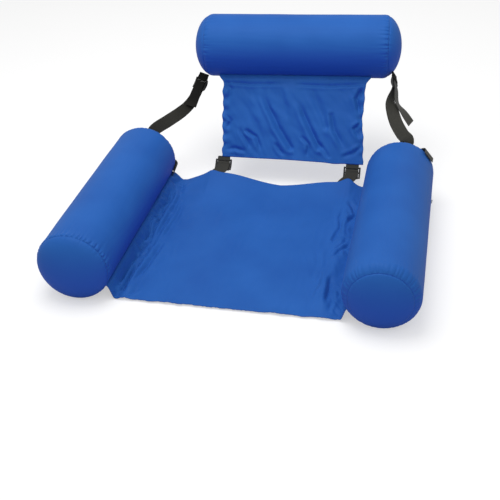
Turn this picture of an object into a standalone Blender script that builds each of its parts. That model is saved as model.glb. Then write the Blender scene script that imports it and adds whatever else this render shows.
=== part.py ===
# Inflatable water armchair: two arm rolls, a head roll, a cloth seat and back, and webbing with buckles.
# Metres, +Z up, -Y is the front. The origin is on the ground under the middle of the whole chair.
import math
from collections import namedtuple

import bmesh
import bpy
from mathutils import Matrix, Vector

# Rolls
ARM_RADIUS = 0.095
ARM_LENGTH = 0.670
ARM_DOME = 0.046
ARM_SPREAD = 0.385
HEAD_RADIUS = 0.092
HEAD_LENGTH = 0.620
HEAD_DOME = 0.056
HEAD_SHIFT = 0.048
HEAD_YAW = math.radians(3.8)
HEAD_BEHIND_ARMS = 0.210
HEAD_HEIGHT = 0.364
CROWN = 0.0004
FLAT_DEPTH = 0.0005

# Cloth and film walls, and the room between pieces
COVER_WALL = 0.0015
BLADDER_WALL = 0.0012
COVER_TO_BLADDER = 0.0004
BLADDER_SHORT = 0.004
SEAM_GAP = 0.0004
SEAM_DIP = 0.0012
TOUCH_GAP = 0.0003
CUT_OVERRUN = 0.020
WELD_DISTANCE = 0.00001
MIN_STATION = 0.004

# How far each end seam lies in from its roll's tip
LEFT_FRONT_SEAM = 0.040
RIGHT_FRONT_SEAM = 0.020
REAR_SEAM = 0.030
HEAD_SEAM = 0.038

# Valves and their plugs
VALVE_FLANGE_RADIUS = 0.0120
VALVE_FLANGE_THICKNESS = 0.0012
VALVE_STEM_RADIUS = 0.0055
VALVE_BORE_RADIUS = 0.0035
VALVE_STEM_HEIGHT = 0.0090
VALVE_RIM_HEIGHT = 0.0012
VALVE_HOLE_CLEARANCE = 0.0020
VALVE_TILT = math.radians(22.5)
VALVE_FROM_END = 0.130
PLUG_CAP_RADIUS = 0.0068
PLUG_CAP_THICKNESS = 0.0018
PLUG_PIN_LENGTH = 0.0070
PLUG_PIN_CLEARANCE = 0.0003

# Seat panel
PANEL_THICKNESS = 0.0040
SEAT_FRONT_SETBACK = 0.046
SEAT_REAR_SETBACK = 0.035
SEAT_SEAM_ANGLE = math.radians(56.25)
SEAT_CLEARANCE = 0.0030
SEAT_FRONT_DROP = 0.022
SEAT_REAR_DROP = 0.045
SEAT_REAR_LIFT = 0.012
SEAT_OUTER_REACH = 0.060
SEAT_INNER_REACH = 0.200
SEAT_FOLD_HEIGHT = 0.007

# Back panel
BACK_WIDTH = 0.430
BACK_FLARE = 0.014
BACK_SKEW = 0.011
BACK_HEM_RISE = 0.0105
BACK_SEAM_ANGLE = math.radians(45)
BACK_FOLD_HEIGHT = 0.006

# Webbing and ladder locks
WEB_WIDTH = 0.038
WEB_THICKNESS = 0.0020
SEWN_ROOM = 0.0006
BAND_TILT = math.radians(38)
BUCKLE_SIDE = 0.0045
BUCKLE_SIDE_CLEARANCE = 0.0015
BUCKLE_LENGTH = 0.034
BUCKLE_DEPTH = 0.0065
BUCKLE_BOW = 0.0030
BUCKLE_TOP_BAR = 0.0022
BUCKLE_GRIP_BAR = 0.0025
BUCKLE_END_BAR = 0.0020
FOLD_AXIS_BEHIND_SEAT = 0.040
FOLD_AXIS_HEIGHT = 0.072
LOWER_LEFT_SLOPE = math.radians(28.7)
LOWER_LEFT_X = -0.150
LOWER_LEFT_SEAT_X = -0.163
LOWER_RIGHT_SLOPE = math.radians(36)
LOWER_RIGHT_X = 0.243
LOWER_RIGHT_SEAT_X = 0.224
LOWER_BUCKLE_TILT = math.radians(13)
LOWER_TAIL = 0.002
STRAP_LOW = 0.010
STRAP_HIGH = 0.034
STRAP_OFF_BAND = 0.003

# Where each shoulder buckle hangs, from the head roll's tip, as shares of the roll's radius along X, Y and Z
LEFT_TOP_BAR_SHARES = (0.2426, -0.5267, -0.9891)
RIGHT_TOP_BAR_SHARES = (-0.1317, -0.7233, -0.8511)

# Each shoulder strap's route from its arm roll to its buckle: how far along the straight line between
# them, then how far off that line along X, Y and Z, all as shares of the line's length
LEFT_ROUTE_SHARES = (
    (0.211, -0.055, -0.040, 0.076),
    (0.390, 0.000, -0.059, 0.047),
    (0.558, 0.039, -0.043, 0.002),
    (0.702, 0.046, -0.011, -0.029),
)
RIGHT_ROUTE_SHARES = (
    (0.237, 0.092, -0.082, 0.090),
    (0.330, 0.040, -0.091, 0.087),
    (0.477, -0.020, -0.083, 0.067),
    (0.660, -0.054, -0.060, 0.040),
    (0.765, -0.053, -0.041, 0.024),
)

# Each loose tail, from the buckle's top bar, as shares of the buckle's length along X, Y and Z
LEFT_TAIL_SHARES = (
    (-0.500, -1.294, -1.206),
    (-0.735, -1.824, -1.794),
)
RIGHT_TAIL_SHARES = (
    (0.671, -1.382, -1.403),
    (1.229, -1.794, -2.226),
    (1.671, -2.176, -2.991),
)

# Directions as shares of X, Y and Z: down and out of each buckle, and across its webbing
LEFT_DOWN_SHARES = (-0.332, -0.519, -0.788)
LEFT_FRONT_SHARES = (-0.431, -0.660, 0.616)
LEFT_ROUTE_ACROSS_SHARES = (
    (0.97, -0.10, -0.25),
    (0.88, -0.05, -0.46),
    (0.88, -0.12, -0.44),
    (0.86, -0.35, -0.25),
)
LEFT_TAIL_ACROSS_SHARES = (
    (0.90, -0.42, -0.07),
    (0.94, -0.30, -0.15),
)
RIGHT_DOWN_SHARES = (0.142, -0.766, -0.627)
RIGHT_FRONT_SHARES = (0.957, -0.056, 0.286)
RIGHT_ROUTE_ACROSS_SHARES = (
    (0.95, 0.20, 0.20),
    (0.83, 0.44, 0.33),
    (0.83, 0.44, 0.33),
    (0.75, 0.55, 0.05),
    (0.50, 0.72, -0.35),
)
RIGHT_TAIL_ACROSS_SHARES = (
    (0.25, 0.68, -0.52),
    (0.45, 0.65, -0.25),
    (0.55, 0.62, 0.05),
)

# Numbers of faces
ROLL_SIDES = 32
SLEEVE_STATIONS = 5
DOME_STATIONS = 4
BLADDER_DOME_STATIONS = 4
VALVE_SIDES = 20
BAR_SIDES = 10
RAIL_STATIONS = 7
LOOP_STEPS = 6
STRAP_STEPS = 14
TAIL_STEPS = 5
BAND_STEPS = 10
SEAT_COLUMNS = 24
BACK_COLUMNS = 20
BACK_ROWS = 10
GAP_STATIONS = 300
TAB_SEARCHES = 16
SHARP_ANGLE = math.radians(40)

# Shares of a length, from 0 to 1
CAP_STATION_SHARES = (0.0, 0.07, 0.25, 0.58, 1.0)
SEAT_ROW_SHARES = (0.0, 0.09, 0.20, 0.32, 0.44, 0.56, 0.66, 0.74, 0.81, 0.87, 0.92, 0.96, 1.0)
SEAT_LIFT_START_SHARE = 0.72
SEAT_FOLD_SHARES = (
    (0.105, 0.02, 0.030, 0.9),
    (0.230, -0.06, 0.035, 0.5),
    (0.770, 0.10, 0.035, 0.7),
    (0.880, 0.05, 0.030, 1.0),
)
LOWER_SLANT_SHARES = (0.0, 0.45, 0.85)
BAND_REACH_SHARE = 0.86
RAIL_TAPER_SHARE = 0.75
BACK_EDGE_SHARE = 0.125
BACK_FLARE_START_SHARE = 0.90
BACK_HEM_SHARE = 0.22
BACK_FOLD_SHARES = (
    (0.10, -0.10, 0.05, 0.8),
    (0.33, -0.22, 0.06, 1.0),
    (0.56, -0.20, 0.06, 1.0),
    (0.76, -0.14, 0.05, 0.9),
    (0.92, -0.04, 0.04, 0.6),
)

Roll = namedtuple("Roll", "name radius length dome frame")

# Places that follow from the sizes above
HEAD_REACH = (HEAD_LENGTH / 2 - HEAD_DOME) * math.sin(HEAD_YAW) + HEAD_RADIUS
HEAD_REAR = ARM_LENGTH / 2 + HEAD_BEHIND_ARMS + HEAD_REACH
MIDDLE_Y = -(HEAD_REAR - ARM_LENGTH / 2) / 2
ARM_AXIS_HEIGHT = ARM_RADIUS + CROWN - FLAT_DEPTH
ARM_FRONT_Y = MIDDLE_Y - ARM_LENGTH / 2
ARM_REAR_Y = MIDDLE_Y + ARM_LENGTH / 2
HEAD_CENTRE = Vector((HEAD_SHIFT, ARM_REAR_Y + HEAD_BEHIND_ARMS, HEAD_HEIGHT))
HEAD_AXIS = Vector((math.cos(HEAD_YAW), math.sin(HEAD_YAW), 0))
SEAT_REAR_Y = ARM_REAR_Y - SEAT_REAR_SETBACK
FOLD_AXIS_Y = SEAT_REAR_Y + FOLD_AXIS_BEHIND_SEAT
FOLD_AXIS_OVER_SEAT = FOLD_AXIS_HEIGHT - SEAT_CLEARANCE - PANEL_THICKNESS / 2 - SEAT_REAR_LIFT
WEB_LIFT = TOUCH_GAP + WEB_THICKNESS / 2
BUCKLE_INNER_WIDTH = WEB_WIDTH + 2 * BUCKLE_SIDE_CLEARANCE
BUCKLE_TOP_V = BUCKLE_LENGTH / 2 - BUCKLE_TOP_BAR
BUCKLE_GRIP_V = BUCKLE_GRIP_BAR / 4
BUCKLE_END_V = -BUCKLE_LENGTH / 2 + BUCKLE_END_BAR
BLADDER_INSET = COVER_WALL + COVER_TO_BLADDER


def remove_old_objects():
    for old in list(bpy.data.objects):
        bpy.data.objects.remove(old, do_unlink=True)


def new_collection(name):
    collection = bpy.data.collections.new(name)
    bpy.context.scene.collection.children.link(collection)
    return collection


remove_old_objects()
PARTS = new_collection("inflatable_armchair")
CUTTERS = new_collection("cutters")


def linear(channel):
    if channel <= 0.04045:
        return channel / 12.92
    return ((channel + 0.055) / 1.055) ** 2.4


def make_material(name, red, green, blue, roughness):
    material = bpy.data.materials.new(name)
    material.use_nodes = True
    shader = material.node_tree.nodes["Principled BSDF"]
    colour = [linear(value / 255) for value in (red, green, blue)]
    shader.inputs["Base Color"].default_value = (*colour, 1)
    shader.inputs["Roughness"].default_value = roughness
    shader.inputs["Metallic"].default_value = 0
    material.diffuse_color = (*colour, 1)
    return material


NYLON = make_material("coated_nylon_blue", 44, 92, 176, 0.55)
PVC = make_material("pvc_film_grey", 190, 196, 202, 0.35)
VALVE_VINYL = make_material("valve_vinyl_white", 214, 217, 220, 0.40)
WEBBING = make_material("webbing_black", 62, 63, 60, 0.80)
ACETAL = make_material("acetal_black", 26, 26, 28, 0.35)


def link_part(name, mesh, material, matrix=None):
    mesh.materials.clear()
    mesh.materials.append(material)
    mesh.shade_smooth()
    mesh.set_sharp_from_angle(angle=SHARP_ANGLE)
    part = bpy.data.objects.new(name, mesh)
    if matrix is not None:
        part.matrix_world = matrix
    PARTS.objects.link(part)
    return part


# Helper objects are drawn as wires and never rendered
def link_helper(name, data, matrix=None):
    helper = bpy.data.objects.new(name, data)
    if matrix is not None:
        helper.matrix_world = matrix
    helper.hide_render = True
    helper.display_type = "WIRE"
    CUTTERS.objects.link(helper)
    return helper


def finished_mesh(source):
    bpy.context.view_layer.update()
    graph = bpy.context.evaluated_depsgraph_get()
    return bpy.data.meshes.new_from_object(source.evaluated_get(graph))


def weld(mesh):
    work = bmesh.new()
    work.from_mesh(mesh)
    bmesh.ops.remove_doubles(work, verts=work.verts, dist=WELD_DISTANCE)
    bmesh.ops.recalc_face_normals(work, faces=work.faces)
    work.to_mesh(mesh)
    work.free()
    return mesh


# A turned shape is a profile of radius and height, running top to bottom, spun about local Z
def turned_mesh(name, profile, sides, closed):
    mesh = bpy.data.meshes.new(name)
    points = [(radius, 0, height) for radius, height in profile]
    edges = [(index, index + 1) for index in range(len(points) - 1)]
    if closed:
        edges.append((len(points) - 1, 0))
    mesh.from_pydata(points, edges, [])
    profile_object = link_helper(name + "_profile", mesh)
    screw = profile_object.modifiers.new("Turn", "SCREW")
    screw.axis = "Z"
    screw.steps = sides
    screw.render_steps = sides
    screw.use_merge_vertices = True
    screw.merge_threshold = WELD_DISTANCE
    turned = finished_mesh(profile_object)
    bpy.data.objects.remove(profile_object, do_unlink=True)
    return weld(turned)


def cut(part, cutter, operation="DIFFERENCE"):
    modifier = part.modifiers.new("Cut", "BOOLEAN")
    modifier.operation = operation
    modifier.solver = "EXACT"
    modifier.object = cutter


def cylinder_mesh(radius, length, sides):
    mesh = bpy.data.meshes.new("cylinder")
    work = bmesh.new()
    bmesh.ops.create_cone(
        work,
        cap_ends=True,
        segments=sides,
        radius1=radius,
        radius2=radius,
        depth=length,
    )
    work.to_mesh(mesh)
    work.free()
    return mesh


def box_mesh(size):
    mesh = bpy.data.meshes.new("box")
    work = bmesh.new()
    bmesh.ops.create_cube(work, size=1)
    bmesh.ops.scale(work, vec=size, verts=work.verts)
    work.to_mesh(mesh)
    work.free()
    return mesh


def axes_matrix(origin, x_axis, y_axis, z_axis):
    turn = Matrix((x_axis, y_axis, z_axis)).transposed().to_4x4()
    return Matrix.Translation(origin) @ turn


# Every roll has one outline: a tube with a slight crown and an elliptical dome at each tip
def outline_radius(roll, from_tip):
    half = roll.length / 2
    tube = roll.radius + CROWN * (1 - ((half - from_tip) / half) ** 2)
    if from_tip >= roll.dome:
        return tube
    along = 1 - from_tip / roll.dome
    return tube * math.sqrt(1 - along * along)


def sleeve_marks(roll, start, end):
    marks = []
    for index in range(DOME_STATIONS):
        depth = roll.dome * (1 - math.cos(math.pi / 2 * index / DOME_STATIONS))
        marks += [depth, roll.length - depth]
    for index in range(SLEEVE_STATIONS + 1):
        marks.append(roll.dome + (roll.length - 2 * roll.dome) * index / SLEEVE_STATIONS)
    kept = [start]
    for mark in sorted(marks):
        if mark - kept[-1] > MIN_STATION and end - mark > MIN_STATION:
            kept.append(mark)
    kept.append(end)
    return kept


# A sleeve is a tube of cloth, open at both end seams, where it dips a little
def sleeve_mesh(roll, first_seam, last_seam):
    start = first_seam + SEAM_GAP / 2
    end = roll.length - last_seam - SEAM_GAP / 2
    outer = []
    for mark in sleeve_marks(roll, start, end):
        outer.append([outline_radius(roll, min(mark, roll.length - mark)), mark])
    outer[0][0] -= SEAM_DIP
    outer[-1][0] -= SEAM_DIP
    inner = [[radius - COVER_WALL, mark] for radius, mark in outer]
    return turned_mesh(roll.name + "_cover", outer[::-1] + inner, ROLL_SIDES, True)


# A cap is a dome of cloth that ends at its seam
def cap_mesh(name, roll, seam):
    rim = seam - SEAM_GAP / 2
    outer = []
    inner = []
    for share in CAP_STATION_SHARES:
        outer_mark = rim * share
        inner_mark = COVER_WALL + (rim - COVER_WALL) * share
        outer.append([outline_radius(roll, outer_mark), outer_mark])
        inner.append([outline_radius(roll, outer_mark) - COVER_WALL, inner_mark])
    inner[0][0] = 0
    outer[-1][0] -= SEAM_DIP
    inner[-1][0] -= SEAM_DIP
    return turned_mesh(name, inner + outer[::-1], ROLL_SIDES, False)


def bladder_outline(roll, wall):
    dome_end = roll.dome + BLADDER_SHORT
    tube = outline_radius(roll, dome_end) - BLADDER_INSET - wall
    dome = roll.dome - wall
    points = []
    for index in range(BLADDER_DOME_STATIONS + 1):
        angle = math.pi / 2 * index / BLADDER_DOME_STATIONS
        points.append((tube * math.sin(angle), dome_end - dome * math.cos(angle)))
    for radius, mark in points[::-1]:
        points.append((radius, roll.length - mark))
    return points[::-1]


# A bladder is a film bag that follows its cover inside: an outer and an inner skin
def bladder_mesh(roll):
    name = roll.name + "_bladder"
    outer = turned_mesh(name, bladder_outline(roll, 0), ROLL_SIDES, False)
    inner = turned_mesh(name + "_inside", bladder_outline(roll, BLADDER_WALL), ROLL_SIDES, False)
    work = bmesh.new()
    work.from_mesh(inner)
    bmesh.ops.reverse_faces(work, faces=work.faces)
    work.from_mesh(outer)
    work.to_mesh(outer)
    work.free()
    bpy.data.meshes.remove(inner)
    return outer


# A valve is welded to its bladder by a flange and stands out through the cover
def valve_mesh():
    flange_top = TOUCH_GAP + VALVE_FLANGE_THICKNESS
    top = TOUCH_GAP + VALVE_STEM_HEIGHT
    profile = [
        (VALVE_BORE_RADIUS, top),
        (VALVE_STEM_RADIUS, top),
        (VALVE_STEM_RADIUS + VALVE_RIM_HEIGHT, top - VALVE_RIM_HEIGHT / 2),
        (VALVE_STEM_RADIUS, top - VALVE_RIM_HEIGHT),
        (VALVE_STEM_RADIUS, flange_top + VALVE_FLANGE_THICKNESS),
        (VALVE_STEM_RADIUS + VALVE_FLANGE_THICKNESS, flange_top),
        (VALVE_FLANGE_RADIUS - VALVE_FLANGE_THICKNESS / 2, flange_top),
        (VALVE_FLANGE_RADIUS, TOUCH_GAP),
        (VALVE_BORE_RADIUS, TOUCH_GAP),
    ]
    return turned_mesh("valve", profile, VALVE_SIDES, True)


# A plug's origin is at the top of its valve, on the line that it pulls out along
def plug_mesh():
    pin = VALVE_BORE_RADIUS - PLUG_PIN_CLEARANCE
    rounding = PLUG_CAP_THICKNESS / 2
    profile = [
        (0, TOUCH_GAP + PLUG_CAP_THICKNESS),
        (PLUG_CAP_RADIUS - rounding, TOUCH_GAP + PLUG_CAP_THICKNESS),
        (PLUG_CAP_RADIUS, TOUCH_GAP + rounding),
        (PLUG_CAP_RADIUS - rounding, TOUCH_GAP),
        (pin, TOUCH_GAP),
        (pin, rounding - PLUG_PIN_LENGTH),
        (pin - rounding, -PLUG_PIN_LENGTH),
        (0, -PLUG_PIN_LENGTH),
    ]
    return turned_mesh("plug", profile, VALVE_SIDES, False)


VALVE_MESH = valve_mesh()
PLUG_MESH = plug_mesh()


# A valve's frame stands on the bladder's skin with Z straight out of the roll
def valve_matrix(roll, along, outward):
    axis = roll.frame.to_3x3() @ Vector((0, 0, 1))
    z_axis = (outward - axis * outward.dot(axis)).normalized()
    skin = outline_radius(roll, roll.dome + BLADDER_SHORT) - BLADDER_INSET
    origin = roll.frame @ Vector((0, 0, along)) + z_axis * skin
    return axes_matrix(origin, axis, z_axis.cross(axis), z_axis)


def make_roll(roll, cap_names, seams, valve_along, outward):
    cover = link_part(roll.name + "_cover", sleeve_mesh(roll, seams[0], seams[1]), NYLON, roll.frame)
    turn_round = Matrix.Translation((0, 0, roll.length)) @ Matrix.Rotation(math.pi, 4, "X")
    caps = []
    for cap_name, seam, place in zip(cap_names, seams, (Matrix.Identity(4), turn_round)):
        name = roll.name + cap_name
        caps.append(link_part(name, cap_mesh(name, roll, seam), NYLON, roll.frame @ place))
    bladder = link_part(roll.name + "_bladder", bladder_mesh(roll), PVC, roll.frame)
    valve_frame = valve_matrix(roll, valve_along, outward)
    link_part(roll.name + "_valve", VALVE_MESH.copy(), VALVE_VINYL, valve_frame)
    plug_frame = valve_frame @ Matrix.Translation((0, 0, TOUCH_GAP + VALVE_STEM_HEIGHT))
    link_part(roll.name + "_valve_plug", PLUG_MESH.copy(), VALVE_VINYL, plug_frame)
    bore = cylinder_mesh(VALVE_BORE_RADIUS, CUT_OVERRUN, VALVE_SIDES)
    cut(bladder, link_helper(roll.name + "_bore", bore, valve_frame))
    hole = cylinder_mesh(VALVE_FLANGE_RADIUS + VALVE_HOLE_CLEARANCE, CUT_OVERRUN, VALVE_SIDES)
    cut(cover, link_helper(roll.name + "_valve_hole", hole, valve_frame))
    return [cover] + caps


def roll_frame(origin, direction):
    x_axis = Vector((0, 0, 1)).cross(direction).normalized()
    return axes_matrix(origin, x_axis, direction.cross(x_axis), direction)


def arm_roll(name, side):
    origin = Vector((side * ARM_SPREAD, ARM_FRONT_Y, ARM_AXIS_HEIGHT))
    return Roll(name, ARM_RADIUS, ARM_LENGTH, ARM_DOME, roll_frame(origin, Vector((0, 1, 0))))


HEAD_ROLL = Roll(
    "head_roll",
    HEAD_RADIUS,
    HEAD_LENGTH,
    HEAD_DOME,
    roll_frame(HEAD_CENTRE - HEAD_AXIS * HEAD_LENGTH / 2, HEAD_AXIS),
)


# The arm rolls lie on the ground, so each is cut to a narrow flat underneath
def make_arms():
    ground_size = (ARM_SPREAD * 2 + ARM_RADIUS * 4, ARM_LENGTH * 2, CUT_OVERRUN)
    ground_place = Matrix.Translation((0, MIDDLE_Y, -CUT_OVERRUN / 2))
    ground = link_helper("ground", box_mesh(ground_size), ground_place)
    for name, side, seam in (("left_arm", -1, LEFT_FRONT_SEAM), ("right_arm", 1, RIGHT_FRONT_SEAM)):
        outward = Vector((side * math.cos(VALVE_TILT), 0, -math.sin(VALVE_TILT)))
        roll = arm_roll(name, side)
        caps = ("_front_cap", "_rear_cap")
        pieces = make_roll(roll, caps, (seam, REAR_SEAM), ARM_LENGTH - VALVE_FROM_END, outward)
        for piece in pieces:
            cut(piece, ground)


def make_head():
    outward = Vector((0, math.cos(VALVE_TILT), -math.sin(VALVE_TILT)))
    caps = ("_left_cap", "_right_cap")
    make_roll(HEAD_ROLL, caps, (HEAD_SEAM, HEAD_SEAM), VALVE_FROM_END, outward)


# A cloth panel is a grid of points, thickened evenly to both sides
def thick_grid(name, grid, thickness):
    work = bmesh.new()
    rows = [[work.verts.new(point) for point in line] for line in grid]
    for low, high in zip(rows, rows[1:]):
        for index in range(len(low) - 1):
            work.faces.new((low[index], low[index + 1], high[index + 1], high[index]))
    mesh = bpy.data.meshes.new(name)
    work.to_mesh(mesh)
    work.free()
    sheet = link_helper(name + "_sheet", mesh)
    solid = sheet.modifiers.new("Thickness", "SOLIDIFY")
    solid.thickness = thickness
    solid.offset = 0
    solid.use_even_offset = True
    thick = finished_mesh(sheet)
    bpy.data.objects.remove(sheet, do_unlink=True)
    return weld(thick)


def smoothstep(value):
    value = min(1, max(0, value))
    return value * value * (3 - 2 * value)


def ridge(value, centre, width):
    return math.exp(-(((value - centre) / width) ** 2))


# How far the rear straps lift the seat's rear edge at a place across it: the cloth falls straight
# from a strap to the arm roll beside it, and in a long hollow curve towards the middle
def strap_lift(x):
    lift = 0
    straps = ((LOWER_LEFT_SEAT_X, LOWER_LEFT_SLOPE), (LOWER_RIGHT_SEAT_X, LOWER_RIGHT_SLOPE))
    for strap_x, slope in straps:
        height = FOLD_AXIS_OVER_SEAT - FOLD_AXIS_BEHIND_SEAT * math.tan(slope)
        beside = max(0, abs(x - strap_x) - WEB_WIDTH)
        if abs(x) > abs(strap_x) and x * strap_x > 0:
            fall = max(0, 1 - beside / SEAT_OUTER_REACH)
        else:
            fall = max(0, 1 - beside / SEAT_INNER_REACH) ** 2
        lift = max(lift, height * fall)
    return lift


SEAT_SEAM_RADIUS = ARM_RADIUS + CROWN + TOUCH_GAP + PANEL_THICKNESS / 2 * math.cos(SEAT_SEAM_ANGLE)
SEAT_HALF_WIDTH = ARM_SPREAD - SEAT_SEAM_RADIUS * math.sin(SEAT_SEAM_ANGLE)
SEAT_SEAM_HEIGHT = ARM_AXIS_HEIGHT - SEAT_SEAM_RADIUS * math.cos(SEAT_SEAM_ANGLE)


# The seat hangs from a seam on each arm roll, drops to just above the ground and rises to its rear straps
def seat_height(x, along):
    low = SEAT_CLEARANCE + PANEL_THICKNESS / 2
    from_side = SEAT_HALF_WIDTH - abs(x)
    drop_width = SEAT_FRONT_DROP + (SEAT_REAR_DROP - SEAT_FRONT_DROP) * smoothstep(along)
    drop = smoothstep(from_side / drop_width)
    height = SEAT_SEAM_HEIGHT + (low - SEAT_SEAM_HEIGHT) * drop
    rear = max(0, (along - SEAT_LIFT_START_SHARE) / (1 - SEAT_LIFT_START_SHARE)) ** 2
    height += (SEAT_REAR_LIFT + strap_lift(x)) * rear * drop
    across = (x + SEAT_HALF_WIDTH) / (2 * SEAT_HALF_WIDTH)
    inner = smoothstep(from_side / drop_width - 0.5) * (1 - smoothstep(rear * 4))
    for centre_share, slope_share, width_share, height_share in SEAT_FOLD_SHARES:
        line = centre_share + slope_share * (along - 0.5)
        height += SEAT_FOLD_HEIGHT * height_share * ridge(across, line, width_share) * inner
    return height


def seat_y(along):
    front = ARM_FRONT_Y + SEAT_FRONT_SETBACK
    return front + (SEAT_REAR_Y - front) * along


def make_seat():
    grid = []
    for along in SEAT_ROW_SHARES:
        line = []
        for column in range(SEAT_COLUMNS + 1):
            x = SEAT_HALF_WIDTH * (2 * column / SEAT_COLUMNS - 1)
            line.append((x, seat_y(along), seat_height(x, along)))
        grid.append(line)
    link_part("seat_panel", thick_grid("seat_panel", grid, PANEL_THICKNESS), NYLON)


def back_top(x):
    reach = HEAD_RADIUS + CROWN + TOUCH_GAP + PANEL_THICKNESS * BACK_EDGE_SHARE
    axis_y = HEAD_CENTRE.y + (x - HEAD_SHIFT) * math.tan(HEAD_YAW)
    y = axis_y - reach * math.cos(BACK_SEAM_ANGLE)
    return Vector((x, y, HEAD_HEIGHT - reach * math.sin(BACK_SEAM_ANGLE)))


def back_up():
    top = back_top(HEAD_SHIFT)
    return (top - Vector((HEAD_SHIFT, FOLD_AXIS_Y, FOLD_AXIS_HEIGHT))).normalized()


BACK_UP = back_up()
BACK_FRONT = Vector((0, -BACK_UP.z, BACK_UP.y))


# The back panel runs from its hem, just above the lower buckles, up to a seam under the head roll
def back_point(across, along):
    flare_share = (along - BACK_FLARE_START_SHARE) / (1 - BACK_FLARE_START_SHARE)
    width = BACK_WIDTH + 2 * BACK_FLARE * smoothstep(flare_share)
    x = HEAD_SHIFT + BACK_SKEW * (1 - along) + (across - 0.5) * width
    hem = Vector((x, FOLD_AXIS_Y, FOLD_AXIS_HEIGHT)) + BACK_UP * BACK_HEM_RISE
    inside = smoothstep(along / BACK_HEM_SHARE) * smoothstep((1 - along) / BACK_HEM_SHARE)
    bulge = 0
    for centre_share, slope_share, width_share, height_share in BACK_FOLD_SHARES:
        line = centre_share + slope_share * (along - 0.5)
        bulge += height_share * ridge(across, line, width_share)
    return hem.lerp(back_top(x), along) + BACK_FRONT * bulge * BACK_FOLD_HEIGHT * inside


def make_back():
    grid = []
    for row in range(BACK_ROWS + 1):
        along = row / BACK_ROWS
        grid.append([back_point(column / BACK_COLUMNS, along) for column in range(BACK_COLUMNS + 1)])
    link_part("back_panel", thick_grid("back_panel", grid, PANEL_THICKNESS), NYLON)


# A ladder lock lies in its own frame: X across the webbing, Y up towards its tab, Z to the front
def bow_at(y):
    return BUCKLE_BOW * (y / (BUCKLE_LENGTH / 2)) ** 2


def rail_outline():
    lower = []
    upper = []
    for index in range(RAIL_STATIONS + 1):
        share = index / RAIL_STATIONS
        y = BUCKLE_LENGTH * (0.5 - share)
        half = BUCKLE_DEPTH / 2 * math.sqrt(1 - RAIL_TAPER_SHARE * (2 * share - 1) ** 2)
        upper.append((y, bow_at(y) + half))
        lower.append((y, bow_at(y) - half))
    return upper + lower[::-1]


def rail_mesh(side):
    outline = rail_outline()
    curve = bpy.data.curves.new("rail", "CURVE")
    curve.dimensions = "2D"
    curve.fill_mode = "BOTH"
    curve.extrude = BUCKLE_SIDE / 2
    spline = curve.splines.new("POLY")
    spline.points.add(len(outline) - 1)
    for target, (y, z) in zip(spline.points, outline):
        target.co = (y, z, 0, 1)
    spline.use_cyclic_u = True
    holder = link_helper("rail", curve)
    mesh = finished_mesh(holder)
    bpy.data.objects.remove(holder, do_unlink=True)
    stand_up = Matrix(((0, 0, 1, 0), (1, 0, 0, 0), (0, 1, 0, 0), (0, 0, 0, 1)))
    offset = side * (BUCKLE_INNER_WIDTH + BUCKLE_SIDE) / 2
    mesh.transform(Matrix.Translation((offset, 0, 0)) @ stand_up)
    return weld(mesh)


def bar_mesh(radius, y):
    mesh = cylinder_mesh(radius, BUCKLE_INNER_WIDTH + BUCKLE_SIDE, BAR_SIDES)
    mesh.transform(Matrix.Translation((0, y, bow_at(y))) @ Matrix.Rotation(math.pi / 2, 4, "Y"))
    return mesh


# One moulding: two bowed side rails joined by the tab bar, the grip bar and the end bar
def buckle_mesh():
    base = link_helper("buckle_left_rail", rail_mesh(-1))
    pieces = [
        rail_mesh(1),
        bar_mesh(BUCKLE_TOP_BAR, BUCKLE_TOP_V),
        bar_mesh(BUCKLE_GRIP_BAR, BUCKLE_GRIP_V),
        bar_mesh(BUCKLE_END_BAR, BUCKLE_END_V),
    ]
    helpers = [link_helper("buckle_piece", piece) for piece in pieces]
    for helper in helpers:
        cut(base, helper, "UNION")
    joined = finished_mesh(base)
    for helper in helpers + [base]:
        bpy.data.objects.remove(helper, do_unlink=True)
    joined.transform(Matrix.Translation((0, -BUCKLE_TOP_V, -bow_at(BUCKLE_TOP_V))))
    return weld(joined)


BUCKLE_MESH = buckle_mesh()


# A buckle's origin is on its top bar, which it swings about
def buckle_frame(top_bar, down, front):
    y_axis = -down.normalized()
    z_axis = (front - y_axis * front.dot(y_axis)).normalized()
    return axes_matrix(top_bar, y_axis.cross(z_axis), y_axis, z_axis)


def in_buckle(frame, y, z):
    return frame @ Vector((0, y - BUCKLE_TOP_V, z - bow_at(BUCKLE_TOP_V)))


# Webbing follows a route, and each point of it has the direction that its width runs in
def web_mesh(name, route, widths):
    grid = []
    last = len(route) - 1
    for index, (point, width) in enumerate(zip(route, widths)):
        tangent = route[min(index + 1, last)] - route[max(index - 1, 0)]
        tangent.normalize()
        across = (width - tangent * width.dot(tangent)).normalized() * WEB_WIDTH / 2
        grid.append((point - across, point + across))
    return thick_grid(name, grid, WEB_THICKNESS)


def half_turn(centre, start, middle, radius):
    points = []
    for index in range(LOOP_STEPS + 1):
        angle = math.pi * index / LOOP_STEPS
        points.append(centre + (start * math.cos(angle) + middle * math.sin(angle)) * radius)
    return points


def smooth_route(points, steps):
    samples = []
    last = len(points) - 1
    for step in range(steps + 1):
        index = min(int(step * last / steps), last - 1)
        part = step * last / steps - index
        before = points[max(index - 1, 0)]
        start = points[index]
        end = points[index + 1]
        after = points[min(index + 2, last)]
        first = (end - before) / 2
        second = before - start * 5 / 2 + end * 2 - after / 2
        third = (start * 3 - before - end * 3 + after) / 2
        samples.append(start + first * part + second * part**2 + third * part**3)
    return samples


# A tab is a short webbing strip folded round the buckle's top bar, with both ends at the sewn seam
def make_tab(name, top_bar, up, front, length):
    loop = half_turn(top_bar, front, -up, BUCKLE_TOP_BAR + WEB_LIFT)
    front_end = top_bar + up * length + front * WEB_LIFT
    rear_end = top_bar + up * length - front * WEB_LIFT
    route = [front_end] + loop + [rear_end]
    across = up.cross(front)
    link_part(name, web_mesh(name, route, [across] * len(route)), WEBBING)


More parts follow.
